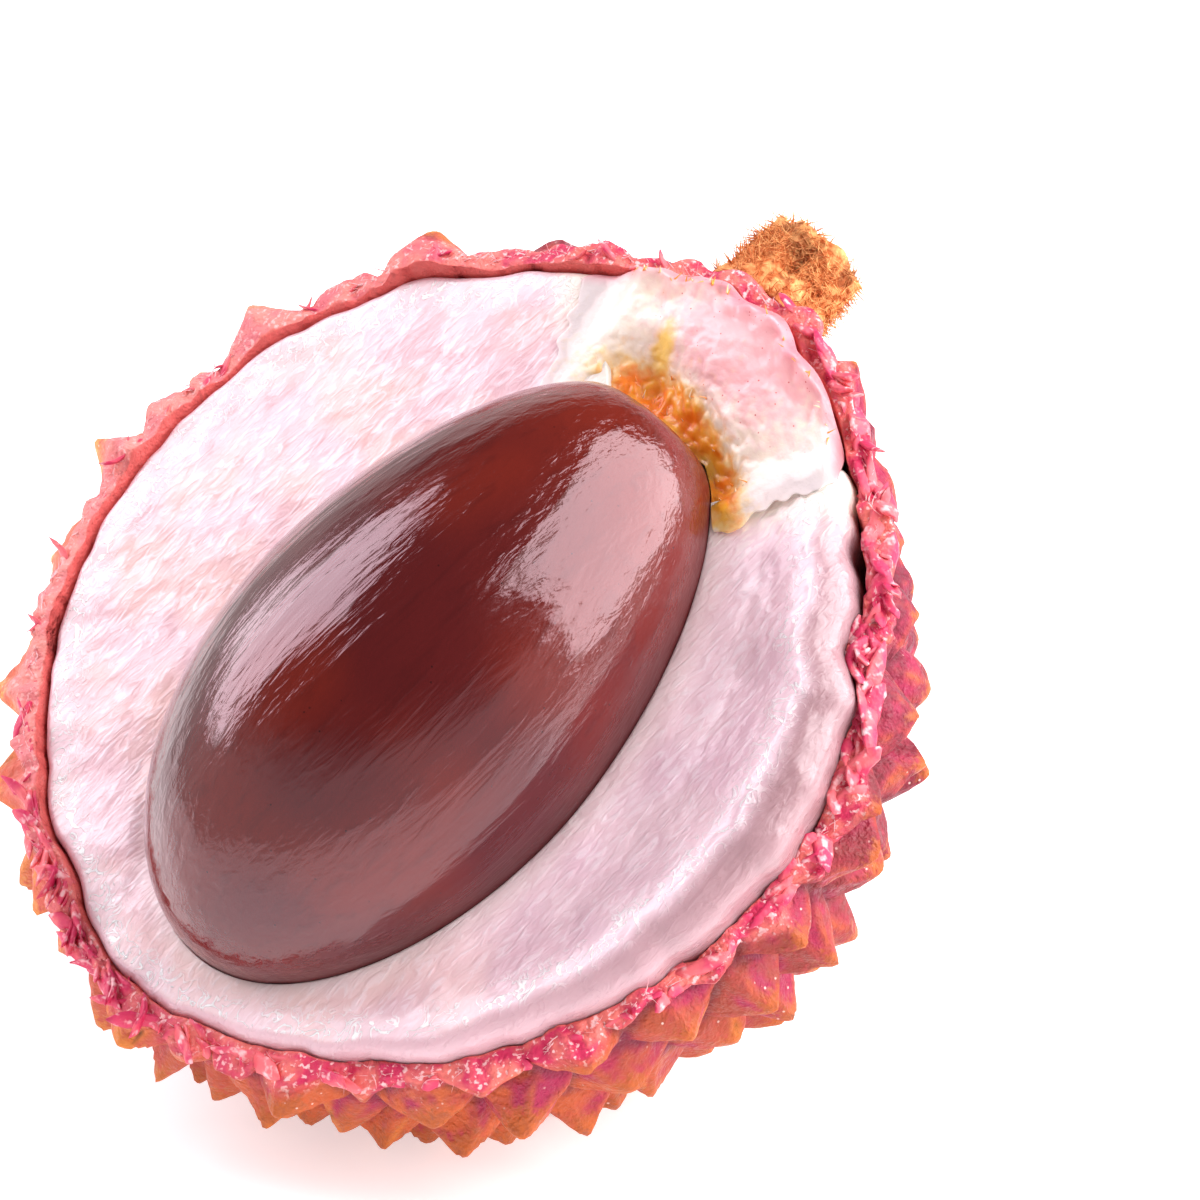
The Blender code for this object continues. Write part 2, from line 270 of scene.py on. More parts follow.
def rough_vectors(points, size, seed=0):
    """Noise as vectors, for shaking points about."""
    at = points.reshape(-1, 3) / size + (seed * 7.31, seed * 3.17, seed * 5.53)
    return np.array([noise.noise_vector(point) for point in at.tolist()]).reshape(points.shape)


def unit(vectors):
    return vectors / np.linalg.norm(vectors, axis=-1, keepdims=True)


def body_radius(directions):
    """Distance from the middle of the fruit to the seams between its tubercles, along unit directions."""
    radius = 1 / np.linalg.norm(directions / (HALF_LENGTH, HALF_WIDTH, DEPTH), axis=-1)
    from_stem = np.arccos(np.clip(directions[..., 0], -1, 1))
    neck = NECK_RISE * bell(from_stem, NECK_SPREAD)
    return radius + neck + TIP_RISE * bell(math.pi - from_stem, TIP_SPREAD)


def stalk_direction():
    return np.array(STALK_SPOT) / np.linalg.norm(STALK_SPOT)


def skin(name, points, marks):
    """A closed mesh through rows of points that run round, its first and last rows each closed by one point.

    Points are rows by columns by 3. Each mark is a named number at each point, which the materials read.
    """
    rows, columns = points.shape[:2]
    ends = points[[0, -1]].mean(axis=1)
    vertices = np.concatenate([points.reshape(-1, 3), ends])
    grid = np.arange(rows * columns).reshape(rows, columns)
    beside = np.roll(grid, -1, axis=1)
    quads = np.stack([grid[:-1], beside[:-1], beside[1:], grid[1:]], axis=-1).reshape(-1, 4)
    low_end = np.full(columns, rows * columns)
    low_fan = np.stack([beside[0], grid[0], low_end], axis=-1)
    high_fan = np.stack([grid[-1], beside[-1], low_end + 1], axis=-1)
    mesh = bpy.data.meshes.new(name)
    mesh.from_pydata(placed(vertices).tolist(), [], quads.tolist() + low_fan.tolist() + high_fan.tolist())
    for mark, values in marks.items():
        values = np.broadcast_to(values, (rows, columns))
        values = np.concatenate([values.ravel(), values[[0, -1]].mean(axis=1)])
        add_mark(mesh, mark, values)
    add_fruit_places(mesh, vertices)
    mesh.shade_smooth()
    return mesh


def add_mark(mesh, name, values):
    """A number at each vertex."""
    mesh.attributes.new(name, "FLOAT", "POINT").data.foreach_set("value", values.astype(np.float32))


def add_fruit_places(mesh, vertices):
    """Each vertex's place in the fruit's frame, for textures that follow the fruit."""
    places = mesh.attributes.new("fruit", "FLOAT_VECTOR", "POINT")
    places.data.foreach_set("vector", vertices.astype(np.float32).ravel())


def add_piece(mesh, material, node, replaces=True):
    """A piece that rides on the body, for a node of the frame."""
    mesh.materials.append(material)
    piece = bpy.data.objects.new(mesh.name, mesh)
    bpy.context.scene.collection.objects.link(piece)
    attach(piece, "root")
    if replaces:
        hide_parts(node)
    return piece


def tubercle_centres():
    """Unit directions of the tubercles, and a random number for each, both as in part.py."""
    count = np.arange(TUBERCLES)
    along = 1 - 2 * (count + 0.5) / TUBERCLES
    along = along * (1 + TUBERCLE_CROWDING * (1 - along**2))
    across = np.sqrt(1 - along**2)
    turn = count * math.pi * (3 - math.sqrt(5))
    centres = np.stack([along, across * np.cos(turn), across * np.sin(turn)], axis=1)
    random = np.random.default_rng(TUBERCLE_SEED)
    centres += random.normal(0, TUBERCLE_SHAKE, centres.shape)
    spread = random.uniform(-1, 1, TUBERCLES)
    return centres / np.linalg.norm(centres, axis=1)[:, None], spread


def nearest_tubercles(directions, centres):
    """The tubercle that each direction belongs to."""
    tree = kdtree.KDTree(len(centres))
    for index, centre in enumerate(centres.tolist()):
        tree.insert(centre, index)
    tree.balance()
    return np.array([tree.find(direction)[1] for direction in directions.tolist()])


def tubercles(directions):
    """The relief of the rind along unit directions, with marks of where each point is on its tubercle."""
    centres, spread = tubercle_centres()
    nearest = np.argsort(-(centres @ centres.T), axis=1)[:, 1 : TUBERCLE_NEIGHBOURS + 1]
    flat = directions.reshape(-1, 3)
    wandered = unit(flat + SEAM_WANDER * rough_vectors(flat * HALF_WIDTH, SEAM_WANDER_SIZE))
    own = nearest_tubercles(wandered, centres)
    to_next = centres[nearest[own]] - centres[own][:, None, :]
    way_to_seam = 2 * np.einsum("nkj,nj->nk", to_next, wandered - centres[own])
    way_to_seam = np.clip(way_to_seam / (to_next**2).sum(axis=2), 0, None)
    share = np.clip((way_to_seam**RIDGE_SHARPNESS).sum(axis=1) ** (1 / RIDGE_SHARPNESS), 0, 1)
    ordered = np.sort(way_to_seam, axis=1)
    on_ridge = 1 - ramp(ordered[:, -1] - ordered[:, -2], 0, RIDGE_WIDTH)

    near_stem = ramp(centres[own, 0], STEM_ZONE_FROM, STEM_ZONE_WIDTH)
    height = TUBERCLE_HEIGHT + (TUBERCLE_HEIGHT_STEM - TUBERCLE_HEIGHT) * near_stem
    height = height * (1 + TUBERCLE_HEIGHT_SPREAD * spread[own])
    power = SPIKE_POWER + (SPIKE_POWER_STEM - SPIKE_POWER) * near_stem
    from_stalk = np.arccos(np.clip(flat @ stalk_direction(), -1, 1))
    bare = ramp(from_stalk, STALK_BARE_FROM, STALK_BARE_TO - STALK_BARE_FROM)
    risen = 1 - np.sqrt(share**2 + TIP_ROUNDING**2) + TIP_ROUNDING * share
    risen = np.clip(risen, 0, 1)
    relief = height * risen**power + RIDGE_RISE * on_ridge * risen * share * 4
    relief -= SEAM_GROOVE * bell(1 - share, SEAM_WIDTH)

    slit, slit_core = slits(flat, centres, nearest, own)
    relief += SLIT_LIP * slit - (SLIT_LIP + SLIT_DEPTH) * slit_core

    random = np.random.default_rng(TUBERCLE_SEED + 1)
    lean = unit(random.normal(0, 1, centres.shape)) * random.uniform(0.2, 1, (TUBERCLES, 1)) * TIP_LEAN
    lean = (lean[own] - (lean[own] * flat).sum(axis=1, keepdims=True) * flat) * (risen**1.5)[:, None]
    shape = directions.shape[:-1]
    marks = {
        "share": share,
        "ridge": on_ridge * (1 - bell(share, 0.15)),
        "near_stem": near_stem,
        "slit": slit,
        "slit_core": slit_core,
        "own": random.uniform(0, 1, TUBERCLES)[own],
    }
    marks = {name: values.reshape(shape) for name, values in marks.items()}
    return (relief * bare).reshape(shape), (lean * bare[:, None]).reshape(directions.shape), marks


def slits(directions, centres, nearest, own):
    """Lens-shaped slits down the sides of some tubercles: how near each point is to one, and to its core."""
    random = np.random.default_rng(TUBERCLE_SEED + 2)
    neighbour = nearest[np.arange(TUBERCLES), random.integers(0, 5, TUBERCLES)]
    way = centres[neighbour] - centres
    start = centres + way * random.uniform(0.2, 0.28, (TUBERCLES, 1))
    there = random.uniform(0, 1, TUBERCLES) < SLIT_SHARE
    length = SLIT_LENGTH * random.uniform(0.7, 1.3, TUBERCLES)
    offset = (directions - start[own]) * HALF_WIDTH
    along_way = unit(way)[own]
    along = (offset * along_way).sum(axis=1)
    across = np.linalg.norm(offset - along[:, None] * along_way, axis=1)
    reach = np.hypot(along / length[own], across / SLIT_WIDTH)
    return there[own] * bell(reach, 0.9), there[own] * (1 - ease(reach, 0.35, 0.4))


def rim_sunk(azimuth):
    """1 where the rind is torn lowest, falling to 0 away from there."""
    return bell(turned_apart(azimuth, RIM_SUNK_SIDE), RIM_SUNK_SPREAD)


def rim_level(azimuth):
    """How far the torn edge of the rind stands above the cut, round the cut, as in part.py."""
    waves = RIM_WAVE * sum(share * np.sin(count * azimuth + phase) for count, share, phase in RIM_WAVES)
    return waves - RIM_SUNK * rim_sunk(azimuth)


def rim_bends(azimuth):
    """How far the rim is bent and crumpled inwards, and bent and torn upwards, round the cut."""
    round_rim = toward(azimuth, 0 * azimuth) * HALF_WIDTH
    crumpled = 1 + bell(turned_apart(azimuth, RIM_CRUMPLED_SIDE), RIM_CRUMPLED_SPREAD)
    inwards = RIM_WRINKLE * crumpled * rough(round_rim, 1.3, 3)
    jagged = 0.9 * np.abs(rough(round_rim, 0.5, 12)) - 0.3
    upwards = RIM_TEAR * crumpled * (rough(round_rim, 1.8, 1) + 0.6 * rough(round_rim, 0.7, 2) + jagged)
    for middle, spread, inward, upward in RIM_BENDS:
        near = bell(turned_apart(azimuth, math.radians(middle)), math.radians(spread))
        inwards = inwards + inward * near
        upwards = upwards + upward * near
    return inwards, upwards


def below_the_rim(azimuth, latitude):
    """How far down the rind each point is from the torn edge."""
    return (np.arcsin(rim_level(azimuth) / HALF_WIDTH) - latitude) * HALF_WIDTH


def rind_thickness(azimuth, latitude):
    """The rind's own thickness, which thins out to the torn edge where the flesh swells over it."""
    below_rim = below_the_rim(azimuth, latitude)
    uneven = 0.2 * rough(toward(azimuth, 0 * azimuth) * HALF_WIDTH, 2.2, 5) * bell(below_rim, RIM_BEND_DEPTH)
    thinned = RIM_THINNED * bell(np.clip(below_rim, 0, None), RIM_THINNED_DEPTH) * (0.4 + 0.6 * rim_sunk(azimuth))
    return RIND_THICKNESS * (1 + uneven - thinned)


def wall_radius(azimuth, latitude):
    """Distance from the middle of the fruit to the inner wall of the rind."""
    bent = rim_bends(azimuth)[0] * bell(below_the_rim(azimuth, latitude), RIM_BEND_DEPTH)
    return body_radius(toward(azimuth, latitude)) - rind_thickness(azimuth, latitude) - bent


def rind_mesh():
    """The rind as a ball pushed in on itself: up its outside, over the torn rim and down its inner wall."""
    up_outside = (np.arange(1, RIND_OUTER_ROWS + 1) / RIND_OUTER_ROWS) ** RIND_ROW_CROWDING
    over_rim = np.arange(1, RIND_RIM_ROWS + 1) / (RIND_RIM_ROWS + 1)
    down_inside = 1 - np.arange(RIND_INNER_ROWS) / RIND_INNER_ROWS
    height_share = np.concatenate([up_outside, np.ones(RIND_RIM_ROWS), down_inside])[:, None]
    over = np.concatenate([np.zeros(RIND_OUTER_ROWS), over_rim, np.ones(RIND_INNER_ROWS)])[:, None]

    azimuth = np.linspace(-math.pi, math.pi, RIND_COLUMNS, endpoint=False)[None, :]
    round_rim = toward(azimuth, 0 * azimuth) * HALF_WIDTH
    inwards, upwards = rim_bends(azimuth)
    edge = np.arcsin(rim_level(azimuth) / HALF_WIDTH)
    latitude = -math.pi / 2 + (edge + math.pi / 2) * height_share
    directions = toward(azimuth, latitude)
    below_rim = below_the_rim(azimuth, latitude)
    near_rim = bell(below_rim, RIM_BEND_DEPTH)

    relief, lean, marks = tubercles(directions)
    at_surface = directions * HALF_WIDTH
    grain = sum(depth * rough(at_surface, size, 4) for size, depth in GRAIN_SIZES)
    kept = RIM_RELIEF + (1 - RIM_RELIEF) * ramp(below_rim, 0, RIM_BEVEL)
    outside = body_radius(directions) + relief * kept + grain - inwards * near_rim
    inside = wall_radius(azimuth, latitude) + 0.02 * rough(at_surface, 1.2, 6)

    turn = math.pi * over
    wrinkle = np.sin(turn) * RIM_WRINKLE * rough(at_surface + over[..., None] * (0, 0, 2.0), 0.5, 7)
    distance = inside + (outside - inside) * (1 + np.cos(turn)) / 2 + np.maximum(wrinkle, -0.02)
    points = directions * distance[..., None]
    points += lean * (kept * (1 - over))[..., None]
    crest = np.sin(RIM_CREST_INWARDS * turn) * bell(below_rim, RIM_CREST_DEPTH)
    points[..., 2] += RIM_CREST * crest * (1 + 0.6 * rough(round_rim, 0.8, 8))
    points[..., 2] += upwards * near_rim + 0.5 * wrinkle

    marks["depth"] = below_rim + 0 * azimuth
    marks["cut"] = np.sin(turn) + 0 * azimuth
    marks["inside"] = over + 0 * azimuth
    # Painted light: the side of the rind that the strong light from the left falls on, to be painted lighter and
    # peachier.
    marks["painted_light_side"] = np.clip(np.cos(turned_apart(azimuth, math.radians(118.0))), 0, 1) + 0 * latitude
    marks["tanned"] = bell(turned_apart(azimuth, math.radians(-138.0)), math.radians(34.0)) + 0 * latitude
    mesh = skin("rind_fine", points, marks)
    rest_on_floor(mesh)
    return mesh


def rest_on_floor(mesh):
    """Flattens what would reach below the surface that the half rests on."""
    places = np.empty(len(mesh.vertices) * 3, np.float32)
    mesh.vertices.foreach_get("co", places)
    places[2::3] = np.maximum(places[2::3], 0)
    mesh.vertices.foreach_set("co", places)


def seed_surface(directions, grown=0.0):
    """Points on the seed, grown by a margin, from unit directions out of its widest place."""
    to_stem = np.clip(directions[..., 0], 0, 0.999)
    taper = np.sqrt((1 - to_stem**SEED_STEM_TAPER) / (1 - to_stem**2))
    along = directions[..., 0] * (np.where(directions[..., 0] > 0, SEED_STEM_LENGTH, SEED_FAR_LENGTH) + grown)
    scar = SEED_SCAR_AT + grown
    along = scar - SEED_SCAR_ROUNDING * np.log1p(np.exp((scar - along) / SEED_SCAR_ROUNDING))
    across = directions[..., 1] * taper * (SEED_HALF_WIDTH + grown)
    up = directions[..., 2] * taper * (SEED_HALF_DEPTH + grown)
    turn = np.array(Matrix.Rotation(SEED_TURN, 3, "Z"))
    return np.stack([along, across, up], axis=-1) @ turn.T + SEED_MIDDLE


def seed_mesh():
    """The seed, its rows running from its far end to the scar, so that nothing pinches on its top."""
    from_end = np.linspace(0, math.pi, SEED_ROWS + 2)[1:-1, None]
    turn = np.linspace(-math.pi, math.pi, SEED_COLUMNS, endpoint=False)[None, :]
    out = np.sin(from_end)
    directions = np.stack([-np.cos(from_end) + 0 * turn, out * np.cos(turn), out * np.sin(turn)], axis=-1)
    points = seed_surface(directions)
    stretched = points * (0.16, 1.0, 1.0)
    furrows = rough(stretched, 1.6, 1) + 0.5 * rough(stretched, 0.7, 2)
    points += directions * (SEED_FURROW * furrows * out)[..., None]
    marks = {
        "scar": ease(points[..., 0], SEED_SCAR_AT + SEED_MIDDLE[0] - 0.8, 0.7),
        "stem_end": ease(points[..., 0], 3.0, 8.0),
        "contact": 1 - ease(points[..., 2], FLESH_TOP + 0.3, 2.4),
    }
    return skin("seed_fine", points, marks)


def seed_edge(azimuth, level):
    """How far out the seed reaches at an azimuth and a level, near the stem end, by halving the interval."""
    turn_back = np.array(Matrix.Rotation(-SEED_TURN, 3, "Z"))
    inner = np.full(azimuth.shape, 6.0)
    outer = np.full(azimuth.shape, HALF_LENGTH)
    for _ in range(12):
        middle = (inner + outer) / 2
        places = np.stack([middle * np.cos(azimuth), middle * np.sin(azimuth), level], axis=-1)
        along, across, up = np.moveaxis((places - SEED_MIDDLE) @ turn_back.T, -1, 0)
        rounded = (across / SEED_HALF_WIDTH) ** 2 + (up / SEED_HALF_DEPTH) ** 2
        within = rounded < 1 - np.clip(along / SEED_STEM_LENGTH, 0, 1) ** SEED_STEM_TAPER
        within &= along < SEED_SCAR_AT
        inner = np.where(within, middle, inner)
        outer = np.where(within, outer, middle)
    return outer


def flesh_radius(azimuth, latitude):
    """Distance from the middle of the fruit to the outside of the flesh, which stands off the wall in places."""
    radius = wall_radius(azimuth, latitude) - WALL_CLEARANCE
    below_cut = np.clip(-HALF_WIDTH * latitude, 0, None)
    for middle, spread, away, deep in FLESH_OFF_WALL:
        near = bell(turned_apart(azimuth, math.radians(middle)), math.radians(spread))
        radius = radius - away * near * bell(below_cut, deep)
    return radius


def flesh_levels(azimuth):
    """The level of the flesh's cut face, how swollen its shoulder is, and how high that is, as in part.py."""
    level = FLESH_TOP + FLESH_LIFT * bell(turned_apart(azimuth, FLESH_LIFT_SIDE), FLESH_LIFT_SPREAD)
    swollen = bell(turned_apart(azimuth, SHOULDER_SIDE), SHOULDER_SPREAD)
    return level, swollen, SHOULDER_LOW + (SHOULDER_HIGH - SHOULDER_LOW) * swollen


def flesh_mesh():
    """The flesh: up its outside, round its shoulder, across the cut face, then down the seed's hollow."""
    rows = np.arange(1, FLESH_WALL_ROWS + FLESH_SHOULDER_ROWS + FLESH_FACE_ROWS + FLESH_HOLLOW_ROWS)[:, None]
    face_from = FLESH_WALL_ROWS + FLESH_SHOULDER_ROWS
    hollow_from = face_from + FLESH_FACE_ROWS
    azimuth = np.linspace(-math.pi, math.pi, FLESH_COLUMNS, endpoint=False)[None, :]
    dipped = 1 - ease(np.abs(azimuth), POCKET_REACH - POCKET_EASE, POCKET_EASE)
    level, swollen, height = flesh_levels(azimuth)
    lip_level = level - LIP_SUNK * swollen - POCKET_DEPTH * dipped
    level = level - POCKET_DEPTH * dipped

    wall_end = np.arcsin((level - height) / HALF_WIDTH)
    latitude = -math.pi / 2 + (wall_end + math.pi / 2) * ramp(rows, 0, FLESH_WALL_ROWS)
    points = toward(azimuth, latitude) * flesh_radius(azimuth, latitude)[..., None]

    outward = toward(azimuth, 0 * azimuth)
    climb = FLESH_CLIMB * (1 + 1.5 * bell(turned_apart(azimuth, math.radians(172.0)), math.radians(14.0)))
    lip_latitude = np.arcsin((lip_level - SEED_MIDDLE[2]) / (SEED_HALF_DEPTH + SEED_CLEARANCE)) + climb
    around_seed = azimuth - SEED_TURN
    lip = seed_surface(toward(around_seed, lip_latitude), SEED_CLEARANCE)
    room = (points[-1] * outward[0]).sum(axis=-1) - (lip * outward).sum(axis=-1)
    width = np.minimum(SHOULDER_STEEPNESS * height, SHOULDER_SHARE * room)
    shoulder = ramp(rows, FLESH_WALL_ROWS, FLESH_SHOULDER_ROWS) * math.pi / 2
    swell = SHOULDER_SWELL * rim_sunk(azimuth) * np.sin(2 * shoulder) ** 2
    points += outward * (swell - width * (1 - np.cos(shoulder)))[..., None]
    points[..., 2] += height * np.sin(shoulder)

    over_face = ramp(rows, face_from, FLESH_FACE_ROWS) + 0 * azimuth
    points += (lip - points) * over_face[..., None]
    points[..., 2] -= FLESH_SAG * swollen * np.sin(math.pi * over_face) ** 2
    to_seed = np.linalg.norm(points - lip, axis=-1)
    pith_near = bell(np.abs(azimuth) - POCKET_REACH, math.radians(5.5))
    free = ramp(to_seed, 0.1, 1.5) * ramp(rows, FLESH_WALL_ROWS, FLESH_SHOULDER_ROWS) * (1 - pith_near)
    waves = 0.16 * rough(points, 3.2, 1) + 0.05 * rough(points, 1.1, 2) + 0.022 * rough(points, 0.45, 3)
    points[..., 2] += waves * free
    crease = bell((rows - face_from) / FLESH_FACE_ROWS, 0.03) * swollen * (1 - pith_near)
    points[..., 2] += crease * (0.04 + 0.14 * rough(points, 0.6, 4))

    down_hollow = ramp(rows, hollow_from, FLESH_HOLLOW_ROWS)
    hollow_latitude = lip_latitude - (lip_latitude + math.pi / 2) * down_hollow
    hollow = seed_surface(toward(around_seed, hollow_latitude), SEED_CLEARANCE)
    points = np.where((rows > hollow_from)[..., None], hollow, points)

    marks = {
        "face": ease(rows, face_from - 6, 8) + 0 * azimuth,
        "from_crease": over_face * room,
        "to_seed": to_seed,
        "lifted": swollen + 0 * rows,
        "pith_near": pith_near + 0 * rows,
    }
    return skin("flesh_fine", points, marks)


def over_flesh(azimuth, radius, wall):
    """The level of the flesh's face and shoulder at the two ends of the pith."""
    level, swollen, height = flesh_levels(azimuth)
    lip = seed_edge(azimuth, level - LIP_SUNK * swollen)
    width = np.minimum(SHOULDER_STEEPNESS * height, SHOULDER_SHARE * (wall - lip))
    to_lip = ramp(wall - width - radius, 0, wall - width - lip)
    round_shoulder = ramp(radius, wall - width, width)
    climbed = SEED_HALF_DEPTH * math.sin(FLESH_CLIMB)
    return level + (climbed - LIP_SUNK * swollen) * to_lip - height * (1 - np.sqrt(1 - round_shoulder**2))


def pith_height(azimuth, radius, wall):
    """The level of the pith's top: lumps and hollows, and over the flesh at its two ends."""
    level = np.full(radius.shape, PITH_TOP)
    for middle, distance, across, along, height in PITH_LUMPS:
        beside = turned_apart(azimuth, math.radians(middle)) * radius
        level += height * bell(beside, along) * bell(radius - distance, across)
    places = np.stack([radius * np.cos(azimuth), radius * np.sin(azimuth), level], axis=-1)
    crumple = 0.22 * rough(places, 1.5, 1) + 0.09 * rough(places, 0.6, 2) + 0.04 * rough(places, 0.28, 3)
    crumple += PITH_CREST * bell(wall - radius - PITH_CREST_IN, 0.3) * (1 + rough(places, 0.8, 4))
    at_end = ease(np.abs(azimuth), math.radians(17.0), math.radians(5.5))
    fading = 1 - ease(np.abs(azimuth), math.radians(20.0), math.radians(3.5))
    beyond = over_flesh(azimuth, radius, wall) + PITH_OVER_FLESH + 0.2 * np.abs(crumple) * fading
    return (level + crumple) * (1 - at_end) + beyond * at_end


def pith_mesh():
    """The pith: a lumpy sheet from the seed to the rim and over the flesh's two ends, on a thick body."""
    turn = np.linspace(-math.pi, math.pi, PITH_COLUMNS, endpoint=False)[None, :]
    squared = (np.abs(np.cos(turn)) ** PITH_SQUARENESS + np.abs(np.sin(turn)) ** PITH_SQUARENESS) ** (1 / PITH_SQUARENESS)
    outwards = np.arange(1, PITH_ROWS + 1) / PITH_ROWS
    back = 1 - np.arange(PITH_UNDER_ROWS) / PITH_UNDER_ROWS
    share = np.concatenate([outwards, back])[:, None]
    under = (np.arange(PITH_ROWS + PITH_UNDER_ROWS) >= PITH_ROWS)[:, None]
    along, across = share * np.cos(turn) / squared, share * np.sin(turn) / squared

    ragged = 1 + PITH_RAGGED * rough(np.stack([along, across, 0 * along], axis=-1), 0.22, 9)
    azimuth = PITH_REACH * along * ragged
    wall = wall_radius(azimuth, 0 * azimuth) - WALL_CLEARANCE
    inner = seed_edge(azimuth, np.full(azimuth.shape, PITH_TOP)) + SEED_CLEARANCE
    radius = inner + (wall - inner) * (across + 1) / 2
    inner = seed_edge(azimuth, pith_height(azimuth, radius, wall)) + SEED_CLEARANCE
    radius = inner + (wall - inner) * (across + 1) / 2
    top = pith_height(azimuth, radius, wall)
    torn = bell(across + 0.7, 0.35) * ease(1 - np.abs(along), 0.1, 0.3)
    places = np.stack([radius * np.cos(azimuth), radius * np.sin(azimuth), top], axis=-1)
    top = top + PITH_TORN * torn * np.abs(rough(places, 0.55, 5))
    body = ease(1 - share, PITH_EDGE_WIDTH, PITH_BODY_SLOPE)
    level = np.where(under, top - PITH_EDGE - (top - PITH_EDGE - PITH_BOTTOM) * body, top)
    radius = np.maximum(radius, seed_edge(azimuth, level) + SEED_CLEARANCE)
    points = np.stack([radius * np.cos(azimuth), radius * np.sin(azimuth), level], axis=-1)
    marks = {
        "orange": pith_zone(azimuth, radius, 5.0, 13.0, 2.0, 0.7) + pith_zone(azimuth, radius, -13.0, 12.2, 3.0, 0.7),
        "yellow": pith_zone(azimuth, radius, 8.5, 14.6, 0.5, 0.9),
        "pink": pith_zone(azimuth, radius, -3.0, 16.4, 3.4, 1.9),
        "rim_near": ease(radius, wall - 0.9, 0.8),
        "over_flesh": ease(np.abs(azimuth), math.radians(17.0), math.radians(7.0)),
    }
    return skin("pith_fine", points, marks)


def pith_zone(azimuth, radius, middle, distance, along, across):
    """How near each point is to a spot of the pith, given as a place and two spreads."""
    beside = turned_apart(azimuth, math.radians(middle)) * radius
    return bell(beside, along) * bell(radius - distance, across)


def torn_fibres_mesh():
    """Torn strings of tissue in the cleft between the pith and the seed, and at the edge of the pith."""
    random = np.random.default_rng(21)
    azimuth = np.radians(random.uniform(-21, 20, TORN_FIBRES))
    wall = wall_radius(azimuth, 0 * azimuth) - WALL_CLEARANCE
    inner = seed_edge(azimuth, np.full(TORN_FIBRES, PITH_TOP)) + 0.35
    reach = np.where(random.uniform(0, 1, TORN_FIBRES) < 0.7, random.uniform(0, 0.3, TORN_FIBRES), 0.93)
    radius = inner + (wall - inner) * reach
    level = pith_height(azimuth, radius, wall) - 0.05
    roots = np.stack([radius * np.cos(azimuth), radius * np.sin(azimuth), level], axis=1)
    outward = toward(azimuth, 0 * azimuth)
    ways = unit(random.normal(0, 1, roots.shape) + outward * 0.7 + np.array((0, 0, 0.8)))
    ways = ways * random.uniform(0.2, 0.45, (TORN_FIBRES, 1))
    widths = random.uniform(0.03, 0.08, TORN_FIBRES)
    return strands("torn_fibres", roots, ways, widths, 0.3, 22)


def rim_places(azimuth, into):
    """Points on the torn edge of the rind, a share of its thickness in from its outside."""
    edge = np.arcsin(rim_level(azimuth) / HALF_WIDTH)
    inwards, upwards = rim_bends(azimuth)
    radius = body_radius(toward(azimuth, edge)) - rind_thickness(azimuth, edge) * into - inwards
    places = toward(azimuth, 0 * azimuth) * (radius * np.cos(edge))[:, None]
    places[:, 2] = rim_level(azimuth) + upwards + RIM_CREST * 0.5
    return places


def rim_flaps_mesh():
    """Torn flaps of skin that stand up and out from the edge of the rind, most where it is crumpled."""
    random = np.random.default_rng(41)
    where = random.uniform(0, 1, RIM_FLAPS)
    azimuth = random.uniform(-180, 180, RIM_FLAPS)
    azimuth = np.where(where < 0.45, random.normal(-42, 20, RIM_FLAPS), azimuth)
    azimuth = np.radians(np.where(where > 0.8, random.normal(172, 16, RIM_FLAPS), azimuth))
    outward = toward(azimuth, 0 * azimuth)
    beside = np.cross(outward, (0, 0, 1))
    roots = rim_places(azimuth, random.uniform(0.0, 0.7, RIM_FLAPS))
    roots[:, 2] -= 0.15
    beside = beside * random.choice([-1, 1], (RIM_FLAPS, 1))
    ways = beside + outward * random.uniform(-0.1, 0.45, (RIM_FLAPS, 1))
    large = 0.6 + 0.4 * ((where < 0.45) | (where > 0.8))
    lengths = random.uniform(0.9, 2.2, RIM_FLAPS) * large
    ways = unit(ways + (0, 0, 0.2)) * lengths[:, None]
    widths = random.uniform(0.2, 0.5, RIM_FLAPS) * large
    facing = unit(outward + (0, 0, 0.8))
    return strands("rim_flaps", roots, ways, widths, 0.3, 42, sides=8, facing=facing, flat=0.35, blunt=6, ruffle=0.14)


def rim_shreds_mesh():
    """Fine pale shreds on the torn edge of the rind."""
    random = np.random.default_rng(31)
    azimuth = random.uniform(-math.pi, math.pi, RIM_SHREDS)
    outward = toward(azimuth, 0 * azimuth)
    roots = rim_places(azimuth, random.uniform(0.1, 0.6, RIM_SHREDS))
    beside = np.cross(outward, (0, 0, 1)) * random.choice([-1, 1], (RIM_SHREDS, 1))
    ways = beside + outward * random.uniform(0.0, 0.7, (RIM_SHREDS, 1))
    ways = unit(ways + np.array((0, 0, 1)) * random.uniform(-0.3, 0.6, (RIM_SHREDS, 1)))
    ways = ways * random.uniform(0.25, 0.8, (RIM_SHREDS, 1))
    widths = random.uniform(0.02, 0.05, RIM_SHREDS)
    return strands("rim_shreds", roots, ways, widths, 0.4, 32)


def stalk_axes():
    """The stub's own directions: along it, and two across it."""
    axis = stalk_direction()
    side = np.cross(axis, (0, 0, 1))
    side = side / np.linalg.norm(side)
    return axis, side, np.cross(axis, side)


def stalk_points(ball):
    """Points of the stub, from points on a unit ball squared into a ridged drum."""
    across = np.hypot(ball[..., 0], ball[..., 1])
    drum = ball / np.maximum(np.abs(ball[..., 2]), across)[..., None]
    azimuth = np.arctan2(ball[..., 1], ball[..., 0])
    down = (1 - drum[..., 2]) / 2
    ridges = 1 + STALK_RIDGE_HEIGHT * np.sin(STALK_RIDGES * azimuth + 2 * down)
    width = (STALK_RADIUS + STALK_FLARE * down**3) * ridges
    axis, side, other_side = stalk_axes()
    foot = body_radius(axis[None, :])[0] + STALK_FOOT_GAP
    points = (foot + STALK_LENGTH * (1 - down))[..., None] * axis
    points += (drum[..., 0] * width)[..., None] * side
    return points + (drum[..., 1] * width)[..., None] * other_side, down


